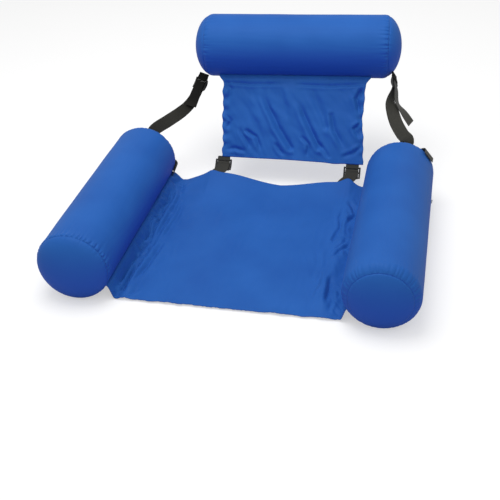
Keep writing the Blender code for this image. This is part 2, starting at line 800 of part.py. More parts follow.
# A strap passes one side of the end bar, turns over the grip bar and comes back on the other side
def buckle_turn(frame, arrives):
    y_axis = frame.to_3x3() @ Vector((0, 1, 0))
    z_axis = frame.to_3x3() @ Vector((0, 0, arrives))
    end_lift = (BUCKLE_END_BAR + WEB_LIFT) * arrives
    first = in_buckle(frame, BUCKLE_END_V, bow_at(BUCKLE_END_V) + end_lift)
    last = in_buckle(frame, BUCKLE_END_V, bow_at(BUCKLE_END_V) - end_lift)
    grip = in_buckle(frame, BUCKLE_GRIP_V, bow_at(BUCKLE_GRIP_V))
    turn = half_turn(grip, z_axis, y_axis, BUCKLE_GRIP_BAR + WEB_LIFT)
    return [first] + turn + [last]


# A strap arrives at its buckle from behind (-1) or in front (1)
def make_strap(name, frame, arrives, lower, lower_widths, tail, tail_widths):
    across = frame.to_3x3() @ Vector((1, 0, 0))
    turn = buckle_turn(frame, arrives)
    lower_route = smooth_route(lower + [turn[0]], STRAP_STEPS)
    lower_across = smooth_route(lower_widths + [across], STRAP_STEPS)
    tail_route = smooth_route([turn[-1]] + tail, TAIL_STEPS)
    tail_across = smooth_route([across] + tail_widths, TAIL_STEPS)
    route = lower_route + turn[1:-1] + tail_route
    widths = lower_across + [across] * (len(turn) - 2) + tail_across
    link_part(name, web_mesh(name, route, widths), WEBBING)


def dome_point(side, offset_x, offset_z, lift):
    spread = (offset_x * offset_x + offset_z * offset_z) / ARM_RADIUS**2
    rise = ARM_DOME * math.sqrt(1 - spread)
    normal = Vector((offset_x / ARM_RADIUS**2, rise / ARM_DOME**2, offset_z / ARM_RADIUS**2))
    local = Vector((offset_x, rise, offset_z)) + normal.normalized() * lift
    dome_base = Vector((side * ARM_SPREAD, ARM_REAR_Y - ARM_DOME, ARM_AXIS_HEIGHT))
    return dome_base + Vector((side * local.x, local.y, local.z))


# Each arm has a webbing band sewn across its rear cap, from high outside to low inside
def make_band(name, side):
    reach = ARM_RADIUS * BAND_REACH_SHARE
    route = []
    for index in range(BAND_STEPS + 1):
        offset = reach * (2 * index / BAND_STEPS - 1)
        place = (offset * math.cos(BAND_TILT), offset * math.sin(BAND_TILT))
        route.append(dome_point(side, place[0], place[1], WEB_LIFT + SEWN_ROOM))
    across = Vector((-side * math.sin(BAND_TILT), 0, math.cos(BAND_TILT)))
    link_part(name, web_mesh(name, route, [across] * len(route)), WEBBING)


# How far a point stands off the head roll's outline
def head_gap(point):
    local = HEAD_ROLL.frame.inverted() @ point
    out = math.hypot(local.x, local.y)
    gaps = []
    for index in range(GAP_STATIONS + 1):
        mark = HEAD_LENGTH * index / GAP_STATIONS
        radius = outline_radius(HEAD_ROLL, min(mark, HEAD_LENGTH - mark))
        gap = math.hypot(out - radius, local.z - mark)
        gaps.append(gap)
        if abs(local.z - mark) <= HEAD_LENGTH / GAP_STATIONS and out < radius:
            return 0
    return min(gaps)


# A shoulder tab is as long as it can be before a corner of it meets the head roll
def tab_length(top_bar, up, front):
    across = up.cross(front) * WEB_WIDTH / 2
    low = 0
    high = HEAD_RADIUS
    for _ in range(TAB_SEARCHES):
        middle = (low + high) / 2
        gaps = []
        for side in (-1, 0, 1):
            for face in (-1, 1):
                corner = top_bar + up * middle + across * side + front * face * WEB_LIFT
                gaps.append(head_gap(corner))
        if min(gaps) > WEB_THICKNESS:
            low = middle
        else:
            high = middle
    return low


def route_point(arm_end, top_bar, shares):
    span = top_bar - arm_end
    return arm_end + span * shares[0] + Vector(shares[1:]) * span.length


def make_shoulder(name, side, frame, route, route_across, tail, tail_across):
    top_bar = frame.to_translation()
    arm_end = Vector((side * ARM_SPREAD, ARM_REAR_Y, ARM_AXIS_HEIGHT))
    up = frame.to_3x3() @ Vector((0, 1, 0))
    face = frame.to_3x3() @ Vector((0, 0, 1))
    link_part(name + "_shoulder_buckle", BUCKLE_MESH.copy(), ACETAL, frame)
    make_tab(name + "_shoulder_tab", top_bar, up, face, tab_length(top_bar, up, face))
    lift = SEWN_ROOM + 2 * TOUCH_GAP + WEB_THICKNESS * 3 / 2
    low = Vector((side * (ARM_SPREAD + STRAP_LOW), ARM_REAR_Y + lift, ARM_AXIS_HEIGHT - STRAP_LOW))
    middle = Vector((side * ARM_SPREAD, ARM_REAR_Y + lift, ARM_AXIS_HEIGHT + STRAP_LOW))
    high = Vector((side * ARM_SPREAD, ARM_REAR_Y + lift + STRAP_OFF_BAND, ARM_AXIS_HEIGHT + STRAP_HIGH))
    across = Vector((1, 0, 0))
    make_strap(
        name + "_shoulder_strap",
        frame,
        -1,
        [low, middle, high] + [route_point(arm_end, top_bar, shares) for shares in route],
        [across, across, across] + [Vector(shares) for shares in route_across],
        [top_bar + Vector(shares) * BUCKLE_LENGTH for shares in tail],
        [Vector(shares) for shares in tail_across],
    )


# A shoulder buckle hangs by its top bar from a tip of the head roll
def shoulder_frame(side, top_bar_shares, down_shares, front_shares):
    tip = HEAD_CENTRE + HEAD_AXIS * side * HEAD_LENGTH / 2
    top_bar = tip + Vector(top_bar_shares) * HEAD_RADIUS
    return buckle_frame(top_bar, Vector(down_shares), Vector(front_shares))


def make_shoulders():
    make_shoulder(
        "left",
        -1,
        shoulder_frame(-1, LEFT_TOP_BAR_SHARES, LEFT_DOWN_SHARES, LEFT_FRONT_SHARES),
        LEFT_ROUTE_SHARES,
        LEFT_ROUTE_ACROSS_SHARES,
        LEFT_TAIL_SHARES,
        LEFT_TAIL_ACROSS_SHARES,
    )
    make_shoulder(
        "right",
        1,
        shoulder_frame(1, RIGHT_TOP_BAR_SHARES, RIGHT_DOWN_SHARES, RIGHT_FRONT_SHARES),
        RIGHT_ROUTE_SHARES,
        RIGHT_ROUTE_ACROSS_SHARES,
        RIGHT_TAIL_SHARES,
        RIGHT_TAIL_ACROSS_SHARES,
    )


# A lower strap is sewn under the seat's rear edge and holds the back panel's hem by its own buckle
def make_lower(name, buckle_x, seat_x, slope):
    top_bar = Vector((buckle_x, FOLD_AXIS_Y, FOLD_AXIS_HEIGHT))
    tilt = slope + LOWER_BUCKLE_TILT
    down = Vector((0, -math.cos(tilt), -math.sin(tilt)))
    front = Vector((0, -math.sin(tilt), math.cos(tilt)))
    frame = buckle_frame(top_bar, down, front)
    link_part(name + "_lower_buckle", BUCKLE_MESH.copy(), ACETAL, frame)
    tab = BACK_HEM_RISE - WEB_THICKNESS / 2
    make_tab(name + "_lower_tab", top_bar, BACK_UP, BACK_FRONT, tab)
    under = (PANEL_THICKNESS / 2 + WEB_LIFT + SEWN_ROOM) / math.cos(slope)
    lower = []
    for along, share in zip(SEAT_ROW_SHARES[-3:], LOWER_SLANT_SHARES):
        x = seat_x + (buckle_x - seat_x) * share
        lower.append(Vector((x, seat_y(along), seat_height(x, along) - under)))
    across = Vector((1, 0, 0))
    end_lift = BUCKLE_END_BAR + WEB_LIFT
    tail = in_buckle(frame, BUCKLE_END_V - LOWER_TAIL, bow_at(BUCKLE_END_V) - end_lift)
    make_strap(name + "_lower_strap", frame, 1, lower, [across] * 3, [tail], [across])


def build():
    make_arms()
    make_head()
    make_seat()
    make_back()
    make_shoulders()
    make_band("left_arm_band", -1)
    make_band("right_arm_band", 1)
    make_lower("left", LOWER_LEFT_X, LOWER_LEFT_SEAT_X, LOWER_LEFT_SLOPE)
    make_lower("right", LOWER_RIGHT_X, LOWER_RIGHT_SEAT_X, LOWER_RIGHT_SLOPE)


build()
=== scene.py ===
import math
import random

import bmesh
import bpy
from mathutils import Matrix, Vector, noise


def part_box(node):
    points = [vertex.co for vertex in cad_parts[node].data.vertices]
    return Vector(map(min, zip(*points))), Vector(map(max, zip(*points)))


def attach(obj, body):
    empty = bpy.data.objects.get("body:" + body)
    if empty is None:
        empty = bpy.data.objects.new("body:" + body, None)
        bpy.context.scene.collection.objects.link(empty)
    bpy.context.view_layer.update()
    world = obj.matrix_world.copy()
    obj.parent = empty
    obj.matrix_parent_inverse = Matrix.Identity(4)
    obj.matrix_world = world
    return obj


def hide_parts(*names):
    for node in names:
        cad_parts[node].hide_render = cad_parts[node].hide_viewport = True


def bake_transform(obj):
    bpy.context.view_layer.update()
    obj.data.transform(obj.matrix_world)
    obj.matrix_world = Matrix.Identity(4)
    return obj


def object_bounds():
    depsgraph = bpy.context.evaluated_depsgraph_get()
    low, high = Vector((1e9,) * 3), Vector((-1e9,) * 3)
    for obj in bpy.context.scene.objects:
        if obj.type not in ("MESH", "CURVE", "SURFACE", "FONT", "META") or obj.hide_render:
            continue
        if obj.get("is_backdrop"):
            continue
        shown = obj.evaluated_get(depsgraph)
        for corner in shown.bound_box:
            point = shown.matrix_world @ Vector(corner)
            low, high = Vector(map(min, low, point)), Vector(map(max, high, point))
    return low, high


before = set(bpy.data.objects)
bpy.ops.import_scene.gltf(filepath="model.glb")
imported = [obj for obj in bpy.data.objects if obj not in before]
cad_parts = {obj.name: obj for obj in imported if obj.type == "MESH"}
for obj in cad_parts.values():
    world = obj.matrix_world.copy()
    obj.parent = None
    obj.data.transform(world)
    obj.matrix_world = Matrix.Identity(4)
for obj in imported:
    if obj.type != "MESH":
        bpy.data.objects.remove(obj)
cad_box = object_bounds()

# The floor, the light and the camera
# A plain white floor that keeps the chair's soft shadow, under a large soft lamp overhead.
# The camera stands where the photograph was taken from, a little to the right and above.


def linear(hex_colour):
    channels = [int(hex_colour[index : index + 2], 16) / 255 for index in (1, 3, 5)]
    return [c / 12.92 if c <= 0.04045 else ((c + 0.055) / 1.055) ** 2.4 for c in channels] + [1.0]


def new_material(name):
    material = bpy.data.materials.new(name)
    material.use_nodes = True
    material.node_tree.nodes.clear()
    return material


def add_node(material, kind, settings, links=()):
    node = material.node_tree.nodes.new(kind)
    for key, value in settings.items():
        if isinstance(key, int) or key in node.inputs:
            node.inputs[key].default_value = value
        else:
            setattr(node, key, value)
    for socket, source, output in links:
        material.node_tree.links.new(source.outputs[output], node.inputs[socket])
    return node


# Matt paper on the floor: it glows a little to the camera alone, so that it shows white round its shadow.
FLOOR_SIZE = 14.0
FLOOR_DROP = 0.0005
PAPER_GLOW = 0.49
PAPER_GREY = 0.56

floor_paper = new_material("white_paper_sweep")
ray = add_node(floor_paper, "ShaderNodeLightPath", {})
lift = add_node(
    floor_paper,
    "ShaderNodeMath",
    {"operation": "MULTIPLY", 1: PAPER_GLOW},
    [(0, ray, "Is Camera Ray")],
)
glow = add_node(floor_paper, "ShaderNodeEmission", {"Color": (1, 1, 1, 1)}, [("Strength", lift, 0)])
paper = add_node(floor_paper, "ShaderNodeBsdfDiffuse", {"Color": (PAPER_GREY, PAPER_GREY, PAPER_GREY, 1)})
both = add_node(floor_paper, "ShaderNodeAddShader", {}, [(0, glow, 0), (1, paper, 0)])
add_node(floor_paper, "ShaderNodeOutputMaterial", {}, [("Surface", both, 0)])

floor_mesh = bpy.data.meshes.new("floor")
half = FLOOR_SIZE / 2
corners = [(-half, -half, 0), (half, -half, 0), (half, half, 0), (-half, half, 0)]
floor_mesh.from_pydata(corners, [], [(0, 1, 2, 3)])
floor_mesh.materials.append(floor_paper)
floor = bpy.data.objects.new("floor", floor_mesh)
floor.location.z = -FLOOR_DROP
bpy.context.scene.collection.objects.link(floor)
floor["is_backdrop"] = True

# The room's own light: white walls, less bright on the chair than to the camera.
SKY_LEVEL, SKY_SEEN = 0.60, 1.0

world = bpy.data.worlds.new("studio")
world.use_nodes = True
bpy.context.scene.world = world
sky = world.node_tree
sky_ray = sky.nodes.new("ShaderNodeLightPath")
sky_level = sky.nodes.new("ShaderNodeMapRange")
sky_level.inputs["To Min"].default_value = SKY_LEVEL
sky_level.inputs["To Max"].default_value = SKY_SEEN
sky.links.new(sky_ray.outputs["Is Camera Ray"], sky_level.inputs["Value"])
sky.links.new(sky_level.outputs["Result"], sky.nodes["Background"].inputs["Strength"])
sky.nodes["Background"].inputs["Color"].default_value = (1, 1, 1, 1)


def soft_lamp(name, place, target, size, watts):
    light = bpy.data.lights.new(name, "AREA")
    light.shape = "DISK"
    light.size = size
    light.energy = watts
    lamp = bpy.data.objects.new(name, light)
    lamp.location = place
    aim = Vector(target) - Vector(place)
    lamp.rotation_euler = aim.to_track_quat("-Z", "Y").to_euler()
    bpy.context.scene.collection.objects.link(lamp)


soft_lamp("overhead_softbox", place=(-0.25, -0.1, 2.6), target=(0, 0, 0.1), size=1.8, watts=34)
soft_lamp("front_fill", place=(0.5, -1.6, 2.6), target=(0, 0, 0.15), size=1.6, watts=6)

CAMERA_LENS, SENSOR_WIDTH = 61.16, 36
CAMERA_PLACE = Vector((0.4784, -2.03622, 1.3168))
CAMERA_RIGHT = Vector((0.97575, 0.21352, -0.04824))
CAMERA_FORWARD = Vector((-0.20275, 0.79843, -0.56693))

camera_data = bpy.data.cameras.new("camera")
camera_data.lens = CAMERA_LENS
camera_data.sensor_width = SENSOR_WIDTH
camera = bpy.data.objects.new("camera", camera_data)
camera_axes = Matrix((CAMERA_RIGHT, CAMERA_RIGHT.cross(CAMERA_FORWARD), -CAMERA_FORWARD))
camera.matrix_world = Matrix.Translation(CAMERA_PLACE) @ camera_axes.transposed().to_4x4()
bpy.context.scene.collection.objects.link(camera)
bpy.context.scene.camera = camera
bpy.context.scene.view_settings.view_transform = "Standard"

# The three rolls' covers
# Each roll is a blown-up film bladder in a nylon cover: a sleeve with a round cap sewn into each end.
# The sleeve is gathered where it meets a cap, so short puckers stand all round on the sleeve's side.


# Coated nylon taffeta, woven, then coated inside: a smooth satin cloth with a weave that barely shows.
# Its threads are 0.25 mm apart, drawn here at 0.9 mm because the picture can't show finer.
# Its sides and undersides are painted a deeper blue, as painted shade, and its top keeps the plain blue.
NYLON_BLUE = "#255eae"
NYLON_PALE = "#2862b3"
NYLON_DEEP = "#2259a9"
NYLON_PAINTED_SHADE = "#2654ba"
THREAD = 0.0009
TONE_PATCH = 0.160
CREASE = 0.022
# At scale 1 a wave texture shows a little over three bands in each metre.
BANDS_PER_METRE = 3.14


def coated_nylon(name):
    cloth = new_material(name)
    cut = add_node(cloth, "ShaderNodeTexCoord", {})
    patch = add_node(
        cloth,
        "ShaderNodeTexNoise",
        {"Scale": 1 / TONE_PATCH, "Detail": 2.0, "Roughness": 0.5},
        [("Vector", cut, "Object")],
    )
    tone = add_node(cloth, "ShaderNodeValToRGB", {}, [("Fac", patch, "Fac")])
    tone.color_ramp.elements[0].position = 0.30
    tone.color_ramp.elements[0].color = linear(NYLON_DEEP)
    tone.color_ramp.elements[1].position = 0.70
    tone.color_ramp.elements[1].color = linear(NYLON_PALE)
    middle = tone.color_ramp.elements.new(0.5)
    middle.color = linear(NYLON_BLUE)
    # Painted shade: a deeper blue on surfaces that face sideways or down, blended out towards the top.
    axes = add_node(cloth, "ShaderNodeSeparateXYZ", {}, [("Vector", cut, "Normal")])
    painted_shade_blend = add_node(
        cloth,
        "ShaderNodeMapRange",
        {"From Min": -0.25, "From Max": 0.55, "interpolation_type": "SMOOTHSTEP"},
        [("Value", axes, "Z")],
    )
    colour = add_node(
        cloth,
        "ShaderNodeMix",
        {"data_type": "RGBA", 6: linear(NYLON_PAINTED_SHADE)},
        [(0, painted_shade_blend, "Result"), (7, tone, "Color")],
    )
    rough = add_node(cloth, "ShaderNodeMapRange", {"To Min": 0.50, "To Max": 0.60}, [("Value", patch, "Fac")])
    thread = {"Scale": 1 / THREAD / BANDS_PER_METRE, "Distortion": 0.6, "Detail": 1.0}
    warp, weft = (
        add_node(cloth, "ShaderNodeTexWave", {"bands_direction": way, **thread}, [("Vector", cut, "UV")])
        for way in "XY"
    )
    weave = add_node(cloth, "ShaderNodeMath", {"operation": "ADD"}, [(0, warp, "Fac"), (1, weft, "Fac")])
    crease = add_node(
        cloth,
        "ShaderNodeTexNoise",
        {"Scale": 1 / CREASE, "Detail": 2.0, "Roughness": 0.5, "Distortion": 0.8},
        [("Vector", cut, "Object")],
    )
    soft = add_node(cloth, "ShaderNodeBump", {"Strength": 0.16, "Distance": 0.0008}, [("Height", crease, 0)])
    threads = add_node(
        cloth,
        "ShaderNodeBump",
        {"Strength": 0.15, "Distance": 0.00006},
        [("Height", weave, 0), ("Normal", soft, "Normal")],
    )
    surface = add_node(
        cloth,
        "ShaderNodeBsdfPrincipled",
        {"IOR": 1.40, "Specular IOR Level": 0.15, "Sheen Weight": 0.02, "Sheen Roughness": 0.5},
        [("Base Color", colour, 2), ("Roughness", rough, "Result"), ("Normal", threads, "Normal")],
    )
    add_node(cloth, "ShaderNodeOutputMaterial", {}, [("Surface", surface, "BSDF")])
    return cloth


nylon = coated_nylon("coated_nylon_taffeta")
CLOTH_THICKNESS = 0.0010


def grid_mesh(name, rows, cut_rows, closed):
    """Quads between rows of points; cut_rows gives each point's place in the flat cloth, in metres."""
    work = bmesh.new()
    cut_layer = work.loops.layers.uv.new("cut")
    verts = [[work.verts.new(point) for point in row] for row in rows]
    count = len(rows[0])
    for index in range(len(rows) - 1):
        for column in range(count if closed else count - 1):
            after = (column + 1) % count
            face = work.faces.new(
                (verts[index][column], verts[index][after], verts[index + 1][after], verts[index + 1][column])
            )
            places = [(index, column), (index, column + 1), (index + 1, column + 1), (index + 1, column)]
            for loop, (row, along) in zip(face.loops, places):
                loop[cut_layer].uv = cut_rows[row][along]
    mesh = bpy.data.meshes.new(name)
    work.to_mesh(mesh)
    work.free()
    return mesh


def evaluated_mesh(thing):
    bpy.context.view_layer.update()
    graph = bpy.context.evaluated_depsgraph_get()
    return bpy.data.meshes.new_from_object(thing.evaluated_get(graph))


def thicken(mesh, thickness, offset):
    """Gives a skin its cloth thickness; the skin itself stays where it is on the side that offset names."""
    holder = bpy.data.objects.new(mesh.name + "_holder", mesh)
    bpy.context.scene.collection.objects.link(holder)
    solid = holder.modifiers.new("thickness", "SOLIDIFY")
    solid.thickness = thickness
    solid.offset = offset
    thick = evaluated_mesh(holder)
    bpy.data.objects.remove(holder, do_unlink=True)
    return thick


def add_piece(name, mesh, material, body, nodes):
    mesh.materials.clear()
    mesh.materials.append(material)
    mesh.shade_smooth()
    piece = bpy.data.objects.new(name, mesh)
    bpy.context.scene.collection.objects.link(piece)
    if nodes:
        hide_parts(*nodes)
    if body:
        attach(piece, body)
    return piece


# A roll's frame has its tip at the origin and Z along the roll, as the CAD rolls have.
ARM_RADIUS, ARM_LENGTH, ARM_DOME = 0.095, 0.670, 0.046
HEAD_RADIUS, HEAD_LENGTH, HEAD_DOME = 0.092, 0.620, 0.056
MIDDLE_Y = -0.159417
ARM_AXIS_HEIGHT = 0.0949
ARM_SPREAD = 0.385
HEAD_SHIFT = 0.048
HEAD_TURN = math.radians(3.8)
HEAD_CENTRE = Vector((HEAD_SHIFT, 0.385583, 0.364))
HEAD_AXIS = Vector((math.cos(HEAD_TURN), math.sin(HEAD_TURN), 0))
SIDES = 480
SEAM_BAND, SEAM_STOPS, OPEN_STOPS = 0.034, 12, 22
SEAM_PINCH, PINCH_REACH = 0.0006, 0.004
# The gathers stand proud beside a seam, the most at one angle and a quarter of that away from it.
GATHER_RISE, GATHER_REACH, GATHER_END = 0.0023, 0.015, 0.060
GATHER_LEAST, GATHER_ARC = 0.25, 1.3
PUCKERS = 50
PUCKER_WIDTHS, PUCKER_REACHES = (0.0021, 0.0034), (0.009, 0.027)
PUCKER_DEPTH, PUCKER_DEEPER = 0.0014, 0.0034
# The cloth hangs a little loose between the seams, in slow dents and long faint creases.
DENT_DEPTH, DENT_CREASE, DENT_START, DENT_LEAST = 0.0010, 0.0003, 0.02, -0.0004
CAP_STOPS = 14
CAP_TIP, CAP_FLAT = 0.0015, 0.04
CAP_GATHER, CAP_PUCKER_REACH, CAP_PUCKER_DEPTH = 0.3, 0.45, 0.35


def roll_frame(origin, direction):
    across = Vector((0, 0, 1)).cross(direction).normalized()
    turned = Matrix((across, direction.cross(across), direction)).transposed().to_4x4()
    return Matrix.Translation(origin) @ turned


def smooth(value):
    value = min(1, max(0, value))
    return value * value * (3 - 2 * value)


def roll_radius(radius, length, dome, mark):
    from_tip = min(mark, length - mark)
    if from_tip >= dome:
        return radius
    along = 1 - from_tip / dome
    return radius * math.sqrt(max(0, 1 - along * along))


def turn_between(angle, other):
    """The turn from one angle to another, the short way round."""
    return (angle - other + math.pi) % (2 * math.pi) - math.pi


def gather_share(angle, deepest):
    away = turn_between(angle, deepest)
    return GATHER_LEAST + (1 - GATHER_LEAST) * math.exp(-((away / GATHER_ARC) ** 2))


def pucker_rise(gathers, angle, from_seam):
    """How far the gathers stand proud of the roll, with short pinches between them."""
    strength, puckers, deepest = gathers
    if from_seam > GATHER_END:
        return 0
    strength *= gather_share(angle, deepest)
    rise = GATHER_RISE * strength * math.exp(-((from_seam / GATHER_REACH) ** 2)) * smooth(from_seam / 0.003)
    for place, width, reach, deep in puckers:
        away = abs(turn_between(angle, place))
        if away < 3 * width:
            rise -= deep * math.exp(-((away / width) ** 2)) * math.exp(-((from_seam / reach) ** 2))
    return max(rise, -0.0003)


def make_puckers(seed, radius, strength, deepest):
    """Pinches round a seam, and the angle at which the gathers are the deepest."""
    chance = random.Random(seed)
    puckers = []
    for index in range(PUCKERS):
        place = (index + chance.uniform(-0.35, 0.35)) * 2 * math.pi / PUCKERS
        width = chance.uniform(*PUCKER_WIDTHS) / radius
        depth = PUCKER_DEPTH + PUCKER_DEEPER * chance.random() ** 1.5
        deep = depth * strength * gather_share(place, deepest)
        puckers.append((place, width, chance.uniform(*PUCKER_REACHES), deep))
    return strength, puckers, deepest


def sleeve_stops(start, end):
    """Marks along a sleeve: close together near both seams, wider apart between them."""
    near = [SEAM_BAND * (index / SEAM_STOPS) ** 1.4 for index in range(SEAM_STOPS + 1)]
    between = end - start - 2 * SEAM_BAND
    stops = [start + mark for mark in near]
    stops += [start + SEAM_BAND + between * index / OPEN_STOPS for index in range(1, OPEN_STOPS)]
    return stops + [end - mark for mark in reversed(near)]


def dents(angle, mark, seed):
    """Slow dents and long faint creases, where the cover is a little bigger than the bladder inside."""
    around = Vector((math.cos(angle), math.sin(angle), 0)) * 1.6
    slow = noise.noise(around + Vector((seed, 0, mark * 9)))
    long_crease = noise.noise(around * 3.0 + Vector((seed, 3, mark * 4)))
    return DENT_DEPTH * slow - DENT_CREASE * (1 - abs(long_crease) * 2) ** 3


def skin_ring(place, radius, mark, puckers, from_seam, seed):
    """One ring of a roll's skin: pinched in at its seam, gathered beside it and dented between."""
    pinch = SEAM_PINCH * math.exp(-from_seam / PINCH_REACH)
    ring = []
    for index in range(SIDES):
        angle = 2 * math.pi * index / SIDES
        wobble = dents(angle, mark, seed) * smooth(from_seam / DENT_START) if radius > CAP_FLAT else 0
        local = radius - pinch + pucker_rise(puckers, angle, from_seam) + max(DENT_LEAST, wobble)
        point = place @ Vector((local * math.cos(angle), local * math.sin(angle), mark))
        ring.append(Vector((point.x, point.y, max(point.z, 0))))
    return ring


def make_sleeve(name, place, sizes, seams, puckers, body, seed, valve):
    """The tube of cloth between the two seams, with its valve hole. puckers has one set for each end."""
    radius, length, dome = sizes
    start, end = seams[0], length - seams[1]
    rows, cuts = [], []
    for mark in sleeve_stops(start, end):
        from_seam = min(mark - start, end - mark)
        nearest = puckers[0] if mark - start < end - mark else puckers[1]
        here = roll_radius(radius, length, dome, mark)
        rows.append(skin_ring(place, here, mark, nearest, from_seam, seed))
        cuts.append([(2 * math.pi * radius * index / SIDES, mark) for index in range(SIDES + 1)])
    sleeve = thicken(grid_mesh(name + "_sleeve", rows, cuts, True), CLOTH_THICKNESS, -1)
    piece = add_piece(name + "_sleeve", sleeve, nylon, None, [name + "_cover"])
    cut_valve_hole(piece, valve)
    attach(piece, body)


def make_cap(name, place, sizes, seam, at_start, puckers, body, seed):
    """A round cap, from its seam in to its tip, with the ends of the sleeve's puckers showing in it."""
    radius, length, dome = sizes
    strength, sleeve_puckers, deepest = puckers
    fine_puckers = []
    for angle, width, reach, deep in sleeve_puckers:
        fine_puckers.append((angle, width, reach * CAP_PUCKER_REACH, deep * CAP_PUCKER_DEPTH))
    rows, cuts = [], []
    for step in range(CAP_STOPS + 1):
        depth = seam * (1 - step / CAP_STOPS) ** 1.6
        here = max(roll_radius(radius, length, dome, depth), CAP_TIP)
        mark = depth if at_start else length - depth
        fine = (strength * CAP_GATHER, fine_puckers if here > 0.7 * radius else [], deepest)
        rows.append(skin_ring(place, here, mark, fine, seam - depth, seed))
        angles = [2 * math.pi * index / SIDES for index in range(SIDES + 1)]
        cuts.append([(here * math.cos(angle), here * math.sin(angle)) for angle in angles])
    mesh = grid_mesh(name, rows, cuts, True)
    rework(mesh, fill_tip)
    cap = add_piece(name + "_cloth", thicken(mesh, CLOTH_THICKNESS, -1), nylon, body, [name])


def rework(mesh, change):
    """Lets a function change a mesh, and then turns every face outwards."""
    work = bmesh.new()
    work.from_mesh(mesh)
    change(work)
    bmesh.ops.recalc_face_normals(work, faces=work.faces)
    work.to_mesh(mesh)
    work.free()


def fill_tip(work):
    """Fills the small ring at a cap's tip."""
    rim = [edge for edge in work.edges if edge.is_boundary and edge.calc_length() < 0.2 * CAP_TIP]
    bmesh.ops.contextual_create(work, geom=rim)


def cut_valve_hole(piece, place):
    """Cuts the round hole that the valve stands in."""
    work = bmesh.new()
    bmesh.ops.create_cone(
        work,
        cap_ends=True,
        segments=48,
        radius1=VALVE_HOLE,
        radius2=VALVE_HOLE,
        depth=HOLE_CUTTER,
    )
    mesh = bpy.data.meshes.new("hole")
    work.to_mesh(mesh)
    work.free()
    cutter = bpy.data.objects.new("hole", mesh)
    cutter.matrix_world = place
    bpy.context.scene.collection.objects.link(cutter)
    hole = piece.modifiers.new("hole", "BOOLEAN")
    hole.operation = "DIFFERENCE"
    hole.solver = "EXACT"
    hole.object = cutter
    piece.data = evaluated_mesh(piece)
    piece.modifiers.clear()
    bpy.data.objects.remove(cutter, do_unlink=True)


def valve_place(node, direction):
    """The middle of a valve's collar, with Z straight out of the roll."""
    low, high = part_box(node)
    middle = (Vector(low) + Vector(high)) / 2
    return Matrix.Translation(middle) @ Vector(direction).to_track_quat("Z", "Y").to_matrix().to_4x4()


VALVE_HOLE, HOLE_CUTTER = 0.0135, 0.03
ARM_SIZES = (ARM_RADIUS, ARM_LENGTH, ARM_DOME)
HEAD_SIZES = (HEAD_RADIUS, HEAD_LENGTH, HEAD_DOME)
ARM_START = MIDDLE_Y - ARM_LENGTH / 2
# A roll's seams lie this far from its two tips. Its gathers have a strength at each seam, and an angle
# where they are deepest. The last value says which way out its valve points.
ROLLS = {
    "left_arm": {
        "frame": roll_frame(Vector((-ARM_SPREAD, ARM_START, ARM_AXIS_HEIGHT)), Vector((0, 1, 0))),
        "sizes": ARM_SIZES,
        "caps": ("_front_cap", "_rear_cap"),
        "seams": (0.040, 0.030),
        "gathers": (1.25, 0.35),
        "deepest": 2.2,
        "body": "seat",
        "seed": 3,
        "valve_way": (-0.92388, 0, -0.38268),
    },
    "right_arm": {
        "frame": roll_frame(Vector((ARM_SPREAD, ARM_START, ARM_AXIS_HEIGHT)), Vector((0, 1, 0))),
        "sizes": ARM_SIZES,
        "caps": ("_front_cap", "_rear_cap"),
        "seams": (0.020, 0.030),
        "gathers": (1.0, 0.35),
        "deepest": 1.5,
        "body": "seat",
        "seed": 17,
        "valve_way": (0.92388, 0, -0.38268),
    },
    "head_roll": {
        "frame": roll_frame(HEAD_CENTRE - HEAD_AXIS * HEAD_LENGTH / 2, HEAD_AXIS),
        "sizes": HEAD_SIZES,
        "caps": ("_left_cap", "_right_cap"),
        "seams": (0.038, 0.038),
        "gathers": (0.45, 1.0),
        "deepest": 2.6,
        "body": "backrest",
        "seed": 29,
        "valve_way": (-0.0612, 0.9216, -0.3834),
    },
}

for name, roll in ROLLS.items():
    place, sizes, seams, body, seed = (roll[key] for key in ("frame", "sizes", "seams", "body", "seed"))
    valve = valve_place(name + "_valve", roll["valve_way"])
    puckers = [make_puckers(seed + end, sizes[0], roll["gathers"][end], roll["deepest"]) for end in (0, 1)]
    make_sleeve(name, place, sizes, seams, puckers, body, seed, valve)
    for end in (0, 1):
        cap = name + roll["caps"][end]
        make_cap(cap, place, sizes, seams[end], end == 0, puckers[end], body, seed)

# The bladders, their valves and the plugs
# Welded bags of soft film, each with a moulded vinyl valve and a plug that is pushed into it.
# Only the ring of film round each valve shows, in the hole in its cover.


# Calendered PVC film: smooth and glossy, cloudy in patches 33 mm across, where it was folded and creased.
FILM_CLOUD = 0.03333


def pvc_film():
    film = new_material("calendered_pvc_film")
    place = add_node(film, "ShaderNodeTexCoord", {})
    here = [("Vector", place, "Object")]
    cloud = add_node(film, "ShaderNodeTexNoise", {"Scale": 1 / FILM_CLOUD, "Detail": 3.0}, here)
    tone = add_node(film, "ShaderNodeValToRGB", {}, [("Fac", cloud, "Fac")])
    tone.color_ramp.elements[0].color = linear("#b4bbc2")
    tone.color_ramp.elements[1].color = linear("#c9ced3")
    fold = add_node(film, "ShaderNodeBump", {"Strength": 0.3, "Distance": 0.0006}, [("Height", cloud, "Fac")])
    surface = add_node(
        film,
        "ShaderNodeBsdfPrincipled",
        {"Roughness": 0.30, "IOR": 1.53},
        [("Base Color", tone, "Color"), ("Normal", fold, "Normal")],
    )
    add_node(film, "ShaderNodeOutputMaterial", {}, [("Surface", surface, "BSDF")])
    return film


# Injection-moulded soft vinyl: off-white, satin from the mould's fine sparked texture.
# The sparks are 0.2 mm wide, drawn at 0.6 mm because the picture can't show finer.
SPARK, VINYL_TONE = 0.000625, 0.00833


